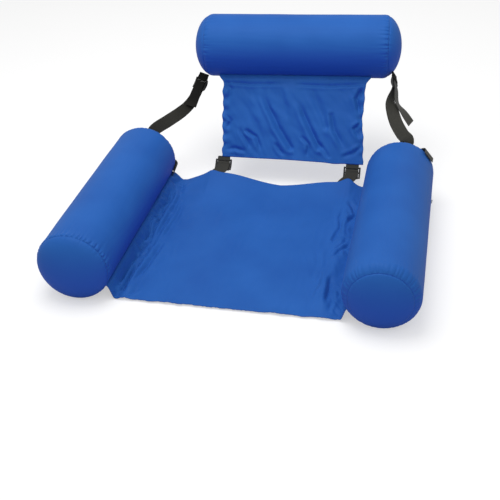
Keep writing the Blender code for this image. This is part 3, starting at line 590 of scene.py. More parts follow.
def moulded_vinyl():
    vinyl = new_material("moulded_soft_vinyl")
    place = add_node(vinyl, "ShaderNodeTexCoord", {})
    here = [("Vector", place, "Object")]
    grain = add_node(vinyl, "ShaderNodeTexNoise", {"Scale": 1 / SPARK, "Detail": 1.0}, here)
    tone = add_node(vinyl, "ShaderNodeTexNoise", {"Scale": 1 / VINYL_TONE, "Detail": 2.0}, here)
    colour = add_node(vinyl, "ShaderNodeValToRGB", {}, [("Fac", tone, "Fac")])
    colour.color_ramp.elements[0].color = linear("#cfd2d5")
    colour.color_ramp.elements[1].color = linear("#dcdee0")
    spark = add_node(vinyl, "ShaderNodeBump", {"Strength": 0.3, "Distance": 0.00006}, [("Height", grain, 0)])
    surface = add_node(
        vinyl,
        "ShaderNodeBsdfPrincipled",
        {"Roughness": 0.42, "IOR": 1.53},
        [("Base Color", colour, "Color"), ("Normal", spark, "Normal")],
    )
    add_node(vinyl, "ShaderNodeOutputMaterial", {}, [("Surface", surface, "BSDF")])
    return vinyl


def dress(node, material):
    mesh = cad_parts[node].data
    mesh.materials.clear()
    mesh.materials.append(material)


film = pvc_film()
vinyl = moulded_vinyl()
for name in ROLLS:
    dress(name + "_bladder", film)
    dress(name + "_valve", vinyl)
    dress(name + "_valve_plug", vinyl)

# The seat
# One hemmed double cloth, sewn along both sides to the arm rolls and slack between them.
# It rests just clear of the ground, rises to its two rear straps, and creases beside the rolls.
SEAT_HALF_WIDTH = 0.304504
SEAT_SEAM_HEIGHT = 0.041115
SEAT_FRONT_Y = ARM_START + 0.046
SEAT_REAR_Y = 0.140583
SEAT_LENGTH = SEAT_REAR_Y - SEAT_FRONT_Y
SEAT_LOW, SEAT_REAR_RISE = 0.0050, 0.012
SEAT_THICKNESS, GROUND_GAP = 0.0022, 0.0006
SEAM_OVERLAP, SEAM_LIFT = 0.0020, 0.0012
SEAT_COLUMNS, SEAT_ROWS = 190, 170
# Beside a roll the cloth drops within the first width at the front, and within the second at the rear.
SEAT_DROPS = (0.017, 0.034)
# Each rear strap: its place across the seat, and the slope in degrees at which it leaves the cloth.
STRAPS_AT = ((-0.163, 28.7), (0.224, 36.0))
STRAP_RISE, STRAP_GAP, STRAP_FLAT = 0.055, 0.040, 0.020
LIFT_OUTSIDE, LIFT_INSIDE = 0.080, 0.230
# The points that the straps draw out of the rear edge: place, width, pull and slope.
SEAT_POINTS = ((-0.176, 0.020, 0.006, 35), (0.234, 0.019, 0.013, 43))
# Slow folds: place across, slant, width and height, all as shares.
SEAT_FOLD = 0.007
SEAT_FOLD_SHARES = ((0.230, -0.06, 0.050, 0.25), (0.400, 0.05, 0.070, 0.10), (0.770, 0.10, 0.050, 0.30))
# Wrinkles everywhere, and crumples beside each roll: their height, their place from the seam and its width.
FINE_WRINKLE, BROAD_WRINKLE = 0.0042, 0.0022
LEFT_CRUMPLES, RIGHT_CRUMPLES = (0.0200, 0.018, 0.024), (0.0070, 0.040, 0.030)
HEM_WAVE, HEM_RIPPLE, HEM_CURL = 0.0026, 0.0030, 0.0014
# A crease is this much stronger than its own height, and swells beside it by a share, some widths away.
CREASE_STRENGTH, SWELL_SHARE, SWELL_AT = 1.35, 0.55, 1.7
# Each crease: the points of its line, its width, and its height, which is below zero for a valley.
SEAT_CREASES = (
    (((-0.2965, -0.450), (-0.2920, -0.390), (-0.2925, -0.330), (-0.2890, -0.280)), 0.0034, -0.0055),
    (((-0.2860, -0.440), (-0.2830, -0.380), (-0.2850, -0.300)), 0.0036, 0.0045),
    (((-0.2940, -0.240), (-0.2880, -0.170), (-0.2910, -0.100)), 0.0036, -0.0048),
    (((-0.2800, -0.200), (-0.2870, -0.130), (-0.2810, -0.060)), 0.0038, 0.0040),
    (((-0.2930, -0.060), (-0.2840, 0.000), (-0.2900, 0.060)), 0.0036, -0.0048),
    (((-0.282, -0.440), (-0.272, -0.330), (-0.262, -0.200), (-0.262, -0.060)), 0.0065, -0.0050),
    (((-0.262, -0.400), (-0.246, -0.300), (-0.238, -0.200)), 0.0055, -0.0036),
    (((-0.285, -0.250), (-0.270, -0.120), (-0.268, 0.020), (-0.275, 0.100)), 0.0060, 0.0040),
    (((-0.250, -0.160), (-0.244, -0.060), (-0.250, 0.030)), 0.0050, 0.0028),
    (((-0.262, -0.448), (-0.250, -0.425), (-0.240, -0.410)), 0.0050, -0.0030),
    (((0.242, 0.075), (0.262, 0.045), (0.272, 0.020), (0.258, -0.010)), 0.0050, -0.0042),
    (((0.236, 0.055), (0.230, 0.000), (0.238, -0.045), (0.226, -0.110)), 0.0055, -0.0040),
    (((0.252, 0.020), (0.246, -0.040), (0.252, -0.090)), 0.0050, 0.0036),
    (((0.270, -0.138), (0.252, -0.160), (0.236, -0.196)), 0.0050, -0.0046),
    (((0.262, -0.100), (0.255, -0.130), (0.240, -0.150)), 0.0045, -0.0030),
    (((0.244, -0.290), (0.247, -0.340), (0.246, -0.395)), 0.0065, -0.0060),
    (((0.222, -0.250), (0.226, -0.320), (0.214, -0.380)), 0.0060, 0.0026),
    (((0.205, -0.160), (0.212, -0.230), (0.206, -0.300)), 0.0070, 0.0022),
    (((0.262, -0.330), (0.268, -0.380), (0.266, -0.420)), 0.0050, 0.0030),
)


def strap_lift(x):
    """The rear straps lift the cloth; it falls steeply to the roll beside, and in a long hollow inwards."""
    rise = 0
    for strap_x, slope in STRAPS_AT:
        peak = STRAP_RISE - STRAP_GAP * math.tan(math.radians(slope))
        beside = max(0, abs(x - strap_x) - STRAP_FLAT)
        if abs(x) > abs(strap_x) and x * strap_x > 0:
            fall = max(0, 1 - beside / LIFT_OUTSIDE) ** 1.1
        else:
            fall = (1 - smooth(beside / LIFT_INSIDE)) ** 1.6
        rise = max(rise, peak * fall)
    return rise


def side_ridge(x, from_side, along):
    """Beside each roll the cloth sinks into a narrow valley, then rises in a soft uneven ridge."""
    uneven = 1 + 0.9 * noise.noise(Vector((x * 9, along * 5, 2.5 + x)))
    if x < 0:
        centre, width, size = 0.044 - 0.010 * along, 0.012, 0.0100
    else:
        centre, width, size = 0.060 + 0.010 * math.sin(along * 9), 0.018, 0.0070
    front = 0.25 + 0.75 * smooth(along / 0.12)
    return size * uneven * front * math.exp(-(((from_side - centre) / width) ** 2))


def wrinkles(x, y, from_side):
    """Small slack wrinkles, strongest beside the rolls and almost gone in the middle."""
    slack = 0.24 + 0.76 * math.exp(-((from_side / 0.085) ** 2))
    fine = noise.noise(Vector((x * 46, y * 17, 4.0)))
    broad = noise.noise(Vector((x * 15, y * 9, 9.0)))
    turned = (x - y * 0.6) if x < 0 else (x + y * 0.8)
    crumple = noise.noise(Vector((turned * 66, (y + x) * 24, 6.0)))
    patch = smooth(noise.noise(Vector((x * 11, y * 10, 12.0))) * 2.2 + 0.55)
    size, centre, width = LEFT_CRUMPLES if x < 0 else RIGHT_CRUMPLES
    size *= math.exp(-(((from_side - centre) / width) ** 2))
    soft = slack * (FINE_WRINKLE * (0.30 - abs(fine)) + BROAD_WRINKLE * broad)
    return soft + size * patch * (0.22 - abs(crumple))


def seat_height(x, along):
    """The seat's broad form: a drop beside each roll, a rise to each strap, slow folds and ridges."""
    from_side = SEAT_HALF_WIDTH - abs(x)
    drop_width = SEAT_DROPS[0] + (SEAT_DROPS[1] - SEAT_DROPS[0]) * smooth(along)
    drop_width *= 1 + 0.5 * noise.noise(Vector((along * 8, 5 if x < 0 else 8, 0)))
    drop = smooth(from_side / drop_width)
    height = SEAT_SEAM_HEIGHT + (SEAT_LOW - SEAT_SEAM_HEIGHT) * drop
    rear = max(0, (along - 0.72) / 0.28) ** 2
    height += (SEAT_REAR_RISE + strap_lift(x)) * rear * drop
    across = (x + SEAT_HALF_WIDTH) / (2 * SEAT_HALF_WIDTH)
    inner = smooth(from_side / drop_width - 0.5) * (1 - smooth(rear * 4))
    for centre, slant, width, size in SEAT_FOLD_SHARES:
        from_fold = across - centre - slant * (along - 0.5)
        height += SEAT_FOLD * size * math.exp(-((from_fold / width) ** 2)) * inner
    return height + side_ridge(x, from_side, along) * smooth(from_side / 0.03) * (1 - smooth(rear * 2))


def crease_lift(u, v, creases):
    """How the creases near a place move the cloth: each sinks along its line and swells beside it."""
    lift = 0
    for line, width, size in creases:
        nearest, side = math.inf, 1
        for (u0, v0), (u1, v1) in zip(line, line[1:]):
            run = (u1 - u0) ** 2 + (v1 - v0) ** 2
            share = min(1, max(0, ((u - u0) * (u1 - u0) + (v - v0) * (v1 - v0)) / run))
            away = math.hypot(u - u0 - share * (u1 - u0), v - v0 - share * (v1 - v0))
            if away < nearest:
                nearest = away
                side = 1 if (u - u0) * (v1 - v0) - (v - v0) * (u1 - u0) > 0 else -1
        if nearest > 4 * width:
            continue
        reach = sum(math.dist(a, b) for a, b in zip(line, line[1:])) / 2
        middle = line[len(line) // 2]
        fade = 1 - smooth((math.dist((u, v), middle) / reach - 0.55) / 0.75)
        signed = nearest * side / width
        swell = SWELL_SHARE * math.exp(-((signed - SWELL_AT) ** 2))
        lift += size * fade * (math.exp(-(signed**2)) - swell)
    return lift * CREASE_STRENGTH


def seat_point(across, along):
    """A place on the seat: across from -1 to 1, with places closer together beside the rolls."""
    x = (SEAT_HALF_WIDTH + SEAM_OVERLAP) * (1.15 * across - 0.15 * across**3)
    y = SEAT_FRONT_Y + SEAT_LENGTH * along
    from_side = SEAT_HALF_WIDTH - abs(x)
    loose = smooth(from_side / 0.007) * (1 - 0.8 * smooth((along - 0.90) / 0.10))
    loose *= 0.3 + 0.7 * smooth(along / 0.05)
    z = seat_height(x, along) + (crease_lift(x, y, SEAT_CREASES) + wrinkles(x, y, from_side)) * loose
    z = max(z, SEAT_THICKNESS / 2 + GROUND_GAP)
    z += SEAM_LIFT * smooth(1 - (from_side + SEAM_OVERLAP) / 0.004)
    for at, width, pull, slope in SEAT_POINTS:
        tip = pull * math.exp(-(((x - at) / width) ** 2)) * smooth((along - 0.88) / 0.12)
        y += tip * math.cos(math.radians(slope))
        z += tip * math.sin(math.radians(slope))
    near_front = smooth(1 - along / 0.06) * smooth(from_side / 0.02)
    hem = HEM_WAVE * noise.noise(Vector((x * 38, 7, 0)))
    hem += HEM_RIPPLE * abs(noise.noise(Vector((x * 90, 3, 0))))
    curl = HEM_CURL * (0.4 + noise.noise(Vector((x * 64, 5, 0))))
    return Vector((x, y + hem * near_front, z + near_front * curl))


seat_rows = []
for row in range(SEAT_ROWS + 1):
    shares = [2 * column / SEAT_COLUMNS - 1 for column in range(SEAT_COLUMNS + 1)]
    seat_rows.append([seat_point(share, row / SEAT_ROWS) for share in shares])
cuts = [[(point.x, point.y) for point in line] for line in seat_rows]
seat_cloth = thicken(grid_mesh("seat_cloth", seat_rows, cuts, False), SEAT_THICKNESS, 0)
seat = add_piece("seat_cloth", seat_cloth, nylon, "seat", ["seat_panel"])

# The back
# One hemmed double cloth that hangs in a slope from a seam under the head roll down to two tabs.
# Its sides are gathered on the hem thread, so they wave, and soft folds run slantwise across it.
BACK_WIDTH, BACK_LENGTH, BACK_FLARE, BACK_SKEW = 0.430, 0.265, 0.014, 0.011
BACK_HEM_RISE = 0.0105
BACK_THICKNESS = 0.0020
BACK_COLUMNS, BACK_ROWS = 124, 76
BACK_REACH = HEAD_RADIUS + 0.0012
FOLD_AXIS_Y, FOLD_AXIS_Z = 0.180583, 0.072
LOWER_TABS_X = (-0.150, 0.243)
# Slow folds: place across, slant, width and height, all as shares.
BACK_FOLD = 0.004
BACK_FOLD_SHARES = (
    (0.10, -0.10, 0.05, 0.8),
    (0.33, -0.22, 0.06, 1.0),
    (0.56, -0.20, 0.06, 1.0),
    (0.76, -0.14, 0.05, 0.9),
    (0.92, -0.04, 0.04, 0.6),
)
BACK_RIPPLE, BACK_HEM_RIPPLE, BACK_FINE = 0.0030, 0.0012, 0.0020
# Each crease: its line in shares of the width and length, its width, and its height in metres.
BACK_CREASE_SHARES = (
    (((0.27, 0.84), (0.33, 0.60), (0.40, 0.38), (0.49, 0.15)), 0.0085, -0.0085),
    (((0.53, 0.74), (0.58, 0.53), (0.63, 0.36), (0.69, 0.17)), 0.0080, -0.0080),
    (((0.61, 0.96), (0.65, 0.74), (0.71, 0.55), (0.74, 0.42)), 0.0120, -0.0045),
    (((0.77, 0.55), (0.79, 0.38), (0.86, 0.18)), 0.0070, -0.0065),
    (((0.17, 0.33), (0.24, 0.26), (0.28, 0.10)), 0.0060, -0.0065),
    (((0.12, 0.36), (0.16, 0.24), (0.20, 0.14)), 0.0060, -0.0040),
    (((0.57, 0.28), (0.62, 0.20), (0.61, 0.06)), 0.0055, -0.0045),
    (((0.38, 0.20), (0.41, 0.12), (0.44, 0.06)), 0.0055, -0.0040),
    (((0.68, 0.24), (0.73, 0.14), (0.76, 0.07)), 0.0060, -0.0045),
    (((0.02, 0.08), (0.09, 0.11), (0.16, 0.08)), 0.0065, -0.0050),
    (((0.99, 0.20), (0.93, 0.12), (0.86, 0.08)), 0.0065, -0.0050),
    (((0.02, 0.90), (0.06, 0.82), (0.04, 0.70)), 0.0065, -0.0040),
    (((0.98, 0.86), (0.94, 0.74), (0.97, 0.58)), 0.0070, -0.0055),
    (((0.02, 0.52), (0.06, 0.44), (0.03, 0.34)), 0.0060, -0.0040),
    (((0.98, 0.46), (0.93, 0.40), (0.97, 0.30)), 0.0060, -0.0045),
    (((0.44, 0.86), (0.47, 0.70), (0.52, 0.52)), 0.0120, 0.0030),
    (((0.02, 0.905), (0.20, 0.885), (0.44, 0.895)), 0.0045, -0.0036),
    (((0.52, 0.890), (0.75, 0.880), (0.98, 0.905)), 0.0045, -0.0036),
    (((0.20, 0.72), (0.25, 0.52), (0.32, 0.30)), 0.0120, 0.0030),
)
BACK_CREASES = [
    ([(across * BACK_WIDTH, along * BACK_LENGTH) for across, along in line], width, size)
    for line, width, size in BACK_CREASE_SHARES
]


def back_top(x):
    """Where the panel meets the head roll, low on its front side."""
    axis_y = HEAD_CENTRE.y + (x - HEAD_SHIFT) * math.tan(HEAD_TURN)
    reach = BACK_REACH * math.sqrt(0.5)
    return Vector((x, axis_y - reach, HEAD_CENTRE.z - reach))


BACK_UP = (back_top(HEAD_SHIFT) - Vector((HEAD_SHIFT, FOLD_AXIS_Y, FOLD_AXIS_Z))).normalized()
BACK_FRONT = Vector((0, -BACK_UP.z, BACK_UP.y))


def side_wave(along, side):
    """The gathered sides wave in and out, more on the right, where the hem thread pulls them in."""
    wave = 0.0020 * math.sin(along * 31 + side * 1.3) * math.sin(along * 13 + 0.6)
    nips = ((0.0065, 0.52, 0.26),) if side > 0 else ((0.0030, 0.16, 0.06), (0.0016, 0.86, 0.05))
    for size, centre, width in nips:
        wave -= size * math.exp(-(((along - centre) / width) ** 2))
    return wave


def hem_drop(across):
    """The lower hem sags a little beside the right tab, and rises a little in the middle."""
    sag = 0.0022 * math.exp(-(((across - 0.80) / 0.05) ** 2))
    return sag - 0.0012 * math.exp(-(((across - 0.45) / 0.2) ** 2))


def back_point(across, along):
    """A place on the back: across from 0 at the left, along from 0 at the lower hem to 1 at the roll."""
    width = BACK_WIDTH + 2 * BACK_FLARE * smooth((along - 0.90) / 0.10)
    x = HEAD_SHIFT + BACK_SKEW * (1 - along) + (across - 0.5) * width
    side = 1 if across > 0.5 else -1
    edge = smooth(1 - min(across, 1 - across) / 0.08)
    free = smooth(along / 0.04) * smooth((1 - along) / 0.10)
    x += side * edge * side_wave(along, side) * free
    hem = Vector((x, FOLD_AXIS_Y, FOLD_AXIS_Z)) + BACK_UP * BACK_HEM_RISE
    inside = smooth(along / 0.22) * smooth((1 - along) / 0.22)
    near_hem = 1 - smooth(along / 0.25)
    at_tabs = min(1, sum(math.exp(-(((x - tab_x) / 0.03) ** 2)) for tab_x in LOWER_TABS_X))
    out = -BACK_FOLD * smooth((along - 0.93) / 0.07)
    for centre, slant, fold_width, size in BACK_FOLD_SHARES:
        from_fold = across - centre - slant * (along - 0.5)
        out += BACK_FOLD * size * math.exp(-((from_fold / fold_width) ** 2)) * inside
    out += edge * BACK_RIPPLE * math.sin(along * 44 + side) * inside
    out += BACK_HEM_RIPPLE * math.sin(across * 61) * near_hem * (1 - at_tabs)
    fine = BACK_FINE * noise.noise(Vector((across * 26 + along * 9, along * 7 - across * 4, 1.0)))
    crease = crease_lift(across * BACK_WIDTH, along * BACK_LENGTH, BACK_CREASES) * smooth((1 - along) / 0.08)
    out += (crease + fine) * (1 - at_tabs * near_hem)
    return hem.lerp(back_top(x), along) + BACK_FRONT * out - BACK_UP * hem_drop(across) * near_hem


back_rows, cuts = [], []
for row in range(BACK_ROWS + 1):
    shares = [column / BACK_COLUMNS for column in range(BACK_COLUMNS + 1)]
    along = row / BACK_ROWS
    back_rows.append([back_point(across, along) for across in shares])
    cuts.append([(across * BACK_WIDTH, along * BACK_LENGTH) for across in shares])
back_cloth = thicken(grid_mesh("back_cloth", back_rows, cuts, False), BACK_THICKNESS, 0)
back = add_piece("back_cloth", back_cloth, nylon, "backrest", ["back_panel"])

# The buckles
# Four ladder locks, each one moulding of two bowed side rails and three bars.
# The CAD solids have their shape, so they only get their plastic here.


# Acetal, injection moulded in black: a fine matt grain, duller and shinier in scuffed patches 11 mm across.
# The grain is 0.2 mm wide, drawn at 0.8 mm because the picture can't show finer.
ACETAL_GRAIN, ACETAL_SCUFF = 0.000833, 0.01111


def moulded_acetal():
    acetal = new_material("moulded_black_acetal")
    place = add_node(acetal, "ShaderNodeTexCoord", {})
    here = [("Vector", place, "Object")]
    grain = add_node(acetal, "ShaderNodeTexNoise", {"Scale": 1 / ACETAL_GRAIN, "Detail": 1.0}, here)
    scuff = add_node(acetal, "ShaderNodeTexNoise", {"Scale": 1 / ACETAL_SCUFF, "Detail": 3.0}, here)
    colour = add_node(acetal, "ShaderNodeValToRGB", {}, [("Fac", scuff, "Fac")])
    colour.color_ramp.elements[0].color = linear("#0a0a0b")
    colour.color_ramp.elements[1].color = linear("#131314")
    rough = add_node(acetal, "ShaderNodeMapRange", {"To Min": 0.42, "To Max": 0.56}, [("Value", scuff, 0)])
    bump = add_node(acetal, "ShaderNodeBump", {"Strength": 0.25, "Distance": 0.00005}, [("Height", grain, 0)])
    surface = add_node(
        acetal,
        "ShaderNodeBsdfPrincipled",
        {"IOR": 1.48, "Specular IOR Level": 0.35},
        [("Base Color", colour, "Color"), ("Roughness", rough, "Result"), ("Normal", bump, "Normal")],
    )
    add_node(acetal, "ShaderNodeOutputMaterial", {}, [("Surface", surface, "BSDF")])
    return acetal


acetal = moulded_acetal()
for node in ("left_shoulder_buckle", "right_shoulder_buckle", "left_lower_buckle", "right_lower_buckle"):
    dress(node, acetal)

# The webbing
# 38 mm polypropylene webbing, woven with fine ribs across and a firm selvedge at each side.
# Bands and tabs are sewn at both ends; the straps thread their ladder locks and end in loose tails.


# Woven polypropylene, dyed black in the melt: dull grey-black ribs 1.3 mm apart, darker between them.
# The ribs are drawn 2.6 mm apart, and their fuzz 3.8 mm, because the picture can't show finer.
# Near its lock the webbing is painted darker, as painted shade, out to reach on both sides.
RIB = 0.0026
FUZZ = 0.003846
PAINTED_SHADE_TONE = 0.15


def woven_polypropylene(name, lock=0, reach=0, shine=0.3, sheen=0.15):
    webbing = new_material(name)
    cut = add_node(webbing, "ShaderNodeTexCoord", {})
    here = [("Vector", cut, "Object")]
    ribs = add_node(
        webbing,
        "ShaderNodeTexWave",
        {"bands_direction": "Y", "Scale": 1 / RIB / BANDS_PER_METRE, "Distortion": 0.8, "Detail": 1.0},
        [("Vector", cut, "UV")],
    )
    fuzz = add_node(webbing, "ShaderNodeTexNoise", {"Scale": 1 / FUZZ, "Detail": 3.0}, here)
    height = add_node(webbing, "ShaderNodeMath", {"operation": "ADD"}, [(0, ribs, "Fac"), (1, fuzz, "Fac")])
    colour = add_node(webbing, "ShaderNodeValToRGB", {}, [("Fac", height, 0)])
    colour.color_ramp.elements[0].position = 0.2
    colour.color_ramp.elements[0].color = linear("#20201d")
    colour.color_ramp.elements[1].position = 1.0
    colour.color_ramp.elements[1].color = linear("#393832")
    base = [("Base Color", colour, "Color")]
    # Painted shade: the colour is darkened near the lock and fades back to the plain webbing at reach.
    if reach:
        along = add_node(webbing, "ShaderNodeSeparateXYZ", {}, [("Vector", cut, "UV")])
        past = add_node(webbing, "ShaderNodeMath", {"operation": "SUBTRACT", 1: lock}, [(0, along, "Y")])
        apart = add_node(webbing, "ShaderNodeMath", {"operation": "ABSOLUTE"}, [(0, past, 0)])
        ends = {"From Min": reach * 0.4, "From Max": reach, "To Min": PAINTED_SHADE_TONE, "To Max": 1.0}
        tone = add_node(webbing, "ShaderNodeMapRange", ends, [("Value", apart, 0)])
        painted_shade = add_node(
            webbing,
            "ShaderNodeVectorMath",
            {"operation": "SCALE"},
            [(0, colour, "Color"), (3, tone, 0)],
        )
        base = [("Base Color", painted_shade, 0)]
    bump = add_node(webbing, "ShaderNodeBump", {"Strength": 0.6, "Distance": 0.0003}, [("Height", height, 0)])
    surface = add_node(
        webbing,
        "ShaderNodeBsdfPrincipled",
        {"Roughness": 0.78, "IOR": 1.49, "Specular IOR Level": shine, "Sheen Weight": sheen},
        base + [("Normal", bump, "Normal")],
    )
    add_node(webbing, "ShaderNodeOutputMaterial", {}, [("Surface", surface, "BSDF")])
    return webbing


polypropylene = woven_polypropylene("woven_polypropylene_webbing")
# The shoulder tabs are painted darker all over, as painted shade, and are less shiny.
painted_shade_polypropylene = woven_polypropylene("painted_shade_polypropylene_webbing", 0, 1, 0.08, 0.02)
WEB_WIDTH, WEB_THICKNESS, SELVEDGE = 0.038, 0.0018, 0.0007
# A buckle's three bars: their half thicknesses, and their heights from its middle.
BUCKLE_LENGTH, BUCKLE_BOW = 0.034, 0.0030
TOP_BAR, GRIP_BAR, END_BAR = 0.0022, 0.0025, 0.0020
TOP_V, GRIP_V, END_V = BUCKLE_LENGTH / 2 - TOP_BAR, GRIP_BAR / 4, -BUCKLE_LENGTH / 2 + END_BAR
# The middle of the webbing lies this far from a bar that it turns round.
WEB_LIFT = 0.0013
TURN_STEPS = 16


def fill_ends(work):
    bmesh.ops.holes_fill(work, edges=[edge for edge in work.edges if edge.is_boundary], sides=0)


def web_mesh(name, route, widths, shear=0):
    """Webbing along a route: flat, with rounded selvedges. widths says which way its width
    runs at each point, and shear how far the weave gives way instead of turning with the route."""
    last = len(route) - 1
    half, thin = WEB_WIDTH / 2, WEB_THICKNESS / 2
    flat = (-half + SELVEDGE, -half / 2, 0, half / 2, half - SELVEDGE)
    profile = [(-half, 0)] + [(u, thin) for u in flat] + [(half, 0)] + [(u, -thin) for u in reversed(flat)]
    rows, cuts, run = [], [], 0
    for index, (point, width) in enumerate(zip(route, widths)):
        tangent = (route[min(index + 1, last)] - route[max(index - 1, 0)]).normalized()
        across = (width - tangent * width.dot(tangent) * (1 - shear)).normalized()
        normal = tangent.cross(across).normalized()
        if index:
            run += (point - route[index - 1]).length
        rows.append([point + across * u + normal * v for u, v in profile])
        cuts.append([(u, run) for u, v in profile] + [(profile[0][0], run)])
    mesh = grid_mesh(name, rows, cuts, True)
    rework(mesh, fill_ends)
    return mesh


def add_web(name, mesh, body, node, material=polypropylene):
    piece = add_piece(name, mesh, material, body, [node])
    piece.data.set_sharp_from_angle(angle=math.radians(50))
    return piece


def half_turn(centre, start, middle, radius):
    """Half a circle of points: from the start's side, by way of the middle's, to the far side."""
    angles = [math.pi * index / TURN_STEPS for index in range(TURN_STEPS + 1)]
    return [centre + (start * math.cos(angle) + middle * math.sin(angle)) * radius for angle in angles]


def smooth_route(points, steps):
    """A smooth curve that passes through each point on its way."""
    samples = []
    last = len(points) - 1
    for step in range(steps + 1):
        index = min(int(step * last / steps), last - 1)
        part = step * last / steps - index
        before, start = points[max(index - 1, 0)], points[index]
        end, after = points[index + 1], points[min(index + 2, last)]
        first = (end - before) / 2
        second = before - start * 5 / 2 + end * 2 - after / 2
        third = (start * 3 - before - end * 3 + after) / 2
        samples.append(start + first * part + second * part**2 + third * part**3)
    return samples


def bow_at(y):
    return BUCKLE_BOW * (y / (BUCKLE_LENGTH / 2)) ** 2


def buckle_place(top_bar, down, front):
    """A buckle's frame at its top bar: Y up from its end bar, and Z out of its front."""
    y_axis = -down.normalized()
    z_axis = (front - y_axis * front.dot(y_axis)).normalized()
    turned = Matrix((y_axis.cross(z_axis), y_axis, z_axis)).transposed().to_4x4()
    return Matrix.Translation(top_bar) @ turned


def in_buckle(place, y, z):
    """A place beside a buckle, measured from its middle as its CAD solid is."""
    return place @ Vector((0, y - TOP_V, z - bow_at(TOP_V)))


# Where boxes are sewn: each box's start and end, the way across the webbing, and the way up from it.
seat_boxes, back_boxes = [], []
BOX_CLEAR = 0.006


def make_tab(name, top_bar, up_way, front_way, length, material, tucked=()):
    """A fold of webbing round a top bar. Its rear leg may run on up behind a hem, by way of
    tucked places, each a height and how far behind."""
    across = up_way.cross(front_way)
    loop = half_turn(top_bar, front_way, -up_way, TOP_BAR + WEB_LIFT)
    front_leg = [top_bar + up_way * length * share + front_way * WEB_LIFT for share in (1.0, 0.7)]
    rear_leg = [top_bar + up_way * length * share - front_way * WEB_LIFT for share in (0.7, 1.0)]
    rear_leg += [top_bar + up_way * height - front_way * behind for height, behind in tucked]
    route = front_leg + loop + rear_leg
    box_end = top_bar + up_way * BOX_CLEAR + front_way * WEB_LIFT
    back_boxes.append((front_leg[0], box_end, across, front_way))
    mesh = web_mesh(name, route, [across] * len(route))
    add_web(name + "_webbing", mesh, "backrest", name, material)


# The webbing's turn over a grip bar stands this far loose of it.
SLACK_UP, SLACK_FRONT = 0.0050, 0.0018


def strap_route(place, arrives, skew, lower, lower_widths, tail, tail_widths, lower_steps, tail_steps):
    """Up a strap, past the end bar on the side it arrives from (-1 behind, 1 in front), loosely
    over the grip bar, and back down a tail."""
    across = place.to_3x3() @ Vector((1, 0, 0))
    y_axis = place.to_3x3() @ Vector((0, 1, 0))
    z_axis = place.to_3x3() @ Vector((0, 0, arrives))
    end_lift = (END_BAR + WEB_LIFT) * arrives
    first = in_buckle(place, END_V, bow_at(END_V) + end_lift) + across * skew
    second = in_buckle(place, END_V, bow_at(END_V) - end_lift)
    grip = in_buckle(place, GRIP_V, bow_at(GRIP_V))
    near, far = grip + z_axis * (GRIP_BAR + WEB_LIFT), grip - z_axis * (GRIP_BAR + WEB_LIFT)
    loop = in_buckle(place, GRIP_V + SLACK_UP, bow_at(GRIP_V) + SLACK_FRONT)
    turned = half_turn(loop, z_axis, y_axis, GRIP_BAR + WEB_LIFT)
    route = smooth_route(lower + [first, near], lower_steps) + turned
    widths = smooth_route(lower_widths + [across, across], lower_steps) + [across] * len(turned)
    route += smooth_route([far, second] + tail, tail_steps)
    widths += smooth_route([across, across] + tail_widths, tail_steps)
    return route, widths


def chair_points(places):
    """Places whose y was measured from the middle of the arm rolls."""
    return [Vector((x, MIDDLE_Y + y, z)) for x, y, z in places]


ARM_REAR_Y = MIDDLE_Y + ARM_LENGTH / 2
SHOULDER_STEPS, SHOULDER_TAIL_STEPS = 60, 16
# Where a strap is sewn over its arm band: how far out, back and up from the tip of the rear cap.
SEWN_PLACES = ((0.011, 0.0042, -0.008), (0.002, 0.0042, 0.010), (-0.007, 0.0072, 0.031))
# The straps' routes and the ways across them, taken from the photo, since each strap hangs differently.
# tab is the length of the buckle's tab, and the last entry says how far the strap's painted shade reaches
# from its lock, and how shiny it is.
SHOULDERS = {
    "left": {
        "side": -1,
        "top_bar": (-0.239, 0.476, 0.273),
        "down": (-0.332, -0.519, -0.788),
        "front": (-0.431, -0.660, 0.616),
        "route": (
            (-0.369, 0.354, 0.153),
            (-0.328, 0.374, 0.177),
            (-0.293, 0.402, 0.195),
            (-0.270, 0.431, 0.212),
        ),
        "across": (
            (0.97, -0.10, -0.25),
            (0.88, -0.05, -0.46),
            (0.88, -0.12, -0.44),
            (0.86, -0.35, -0.25),
        ),
        "tail": ((-0.256, 0.432, 0.232), (-0.264, 0.414, 0.212)),
        "tail_across": ((0.90, -0.42, -0.07), (0.94, -0.30, -0.15)),
        "tab": 0.01987,
        "painted_shade": (0.150, 0.12, 0.04),
    },
    "right": {
        "side": 1,
        "top_bar": (0.3452, 0.499, 0.2857),
        "down": (0.142, -0.766, -0.627),
        "front": (0.957, -0.056, 0.286),
        "route": (
            (0.399, 0.353, 0.163),
            (0.382, 0.366, 0.180),
            (0.361, 0.392, 0.203),
            (0.345, 0.428, 0.231),
            (0.341, 0.450, 0.247),
        ),
        "across": (
            (0.95, 0.20, 0.20),
            (0.83, 0.44, 0.33),
            (0.83, 0.44, 0.33),
            (0.75, 0.55, 0.05),
            (0.50, 0.72, -0.35),
        ),
        "tail": ((0.3585, 0.4452, 0.2414), (0.3814, 0.4264, 0.2168), (0.4036, 0.4186, 0.1885)),
        "tail_across": ((0.25, 0.68, -0.52), (0.35, 0.75, -0.20), (0.34, 0.80, -0.08)),
        "tab": 0.02114,
        "painted_shade": (0.060, 0.30, 0.15),
    },
}

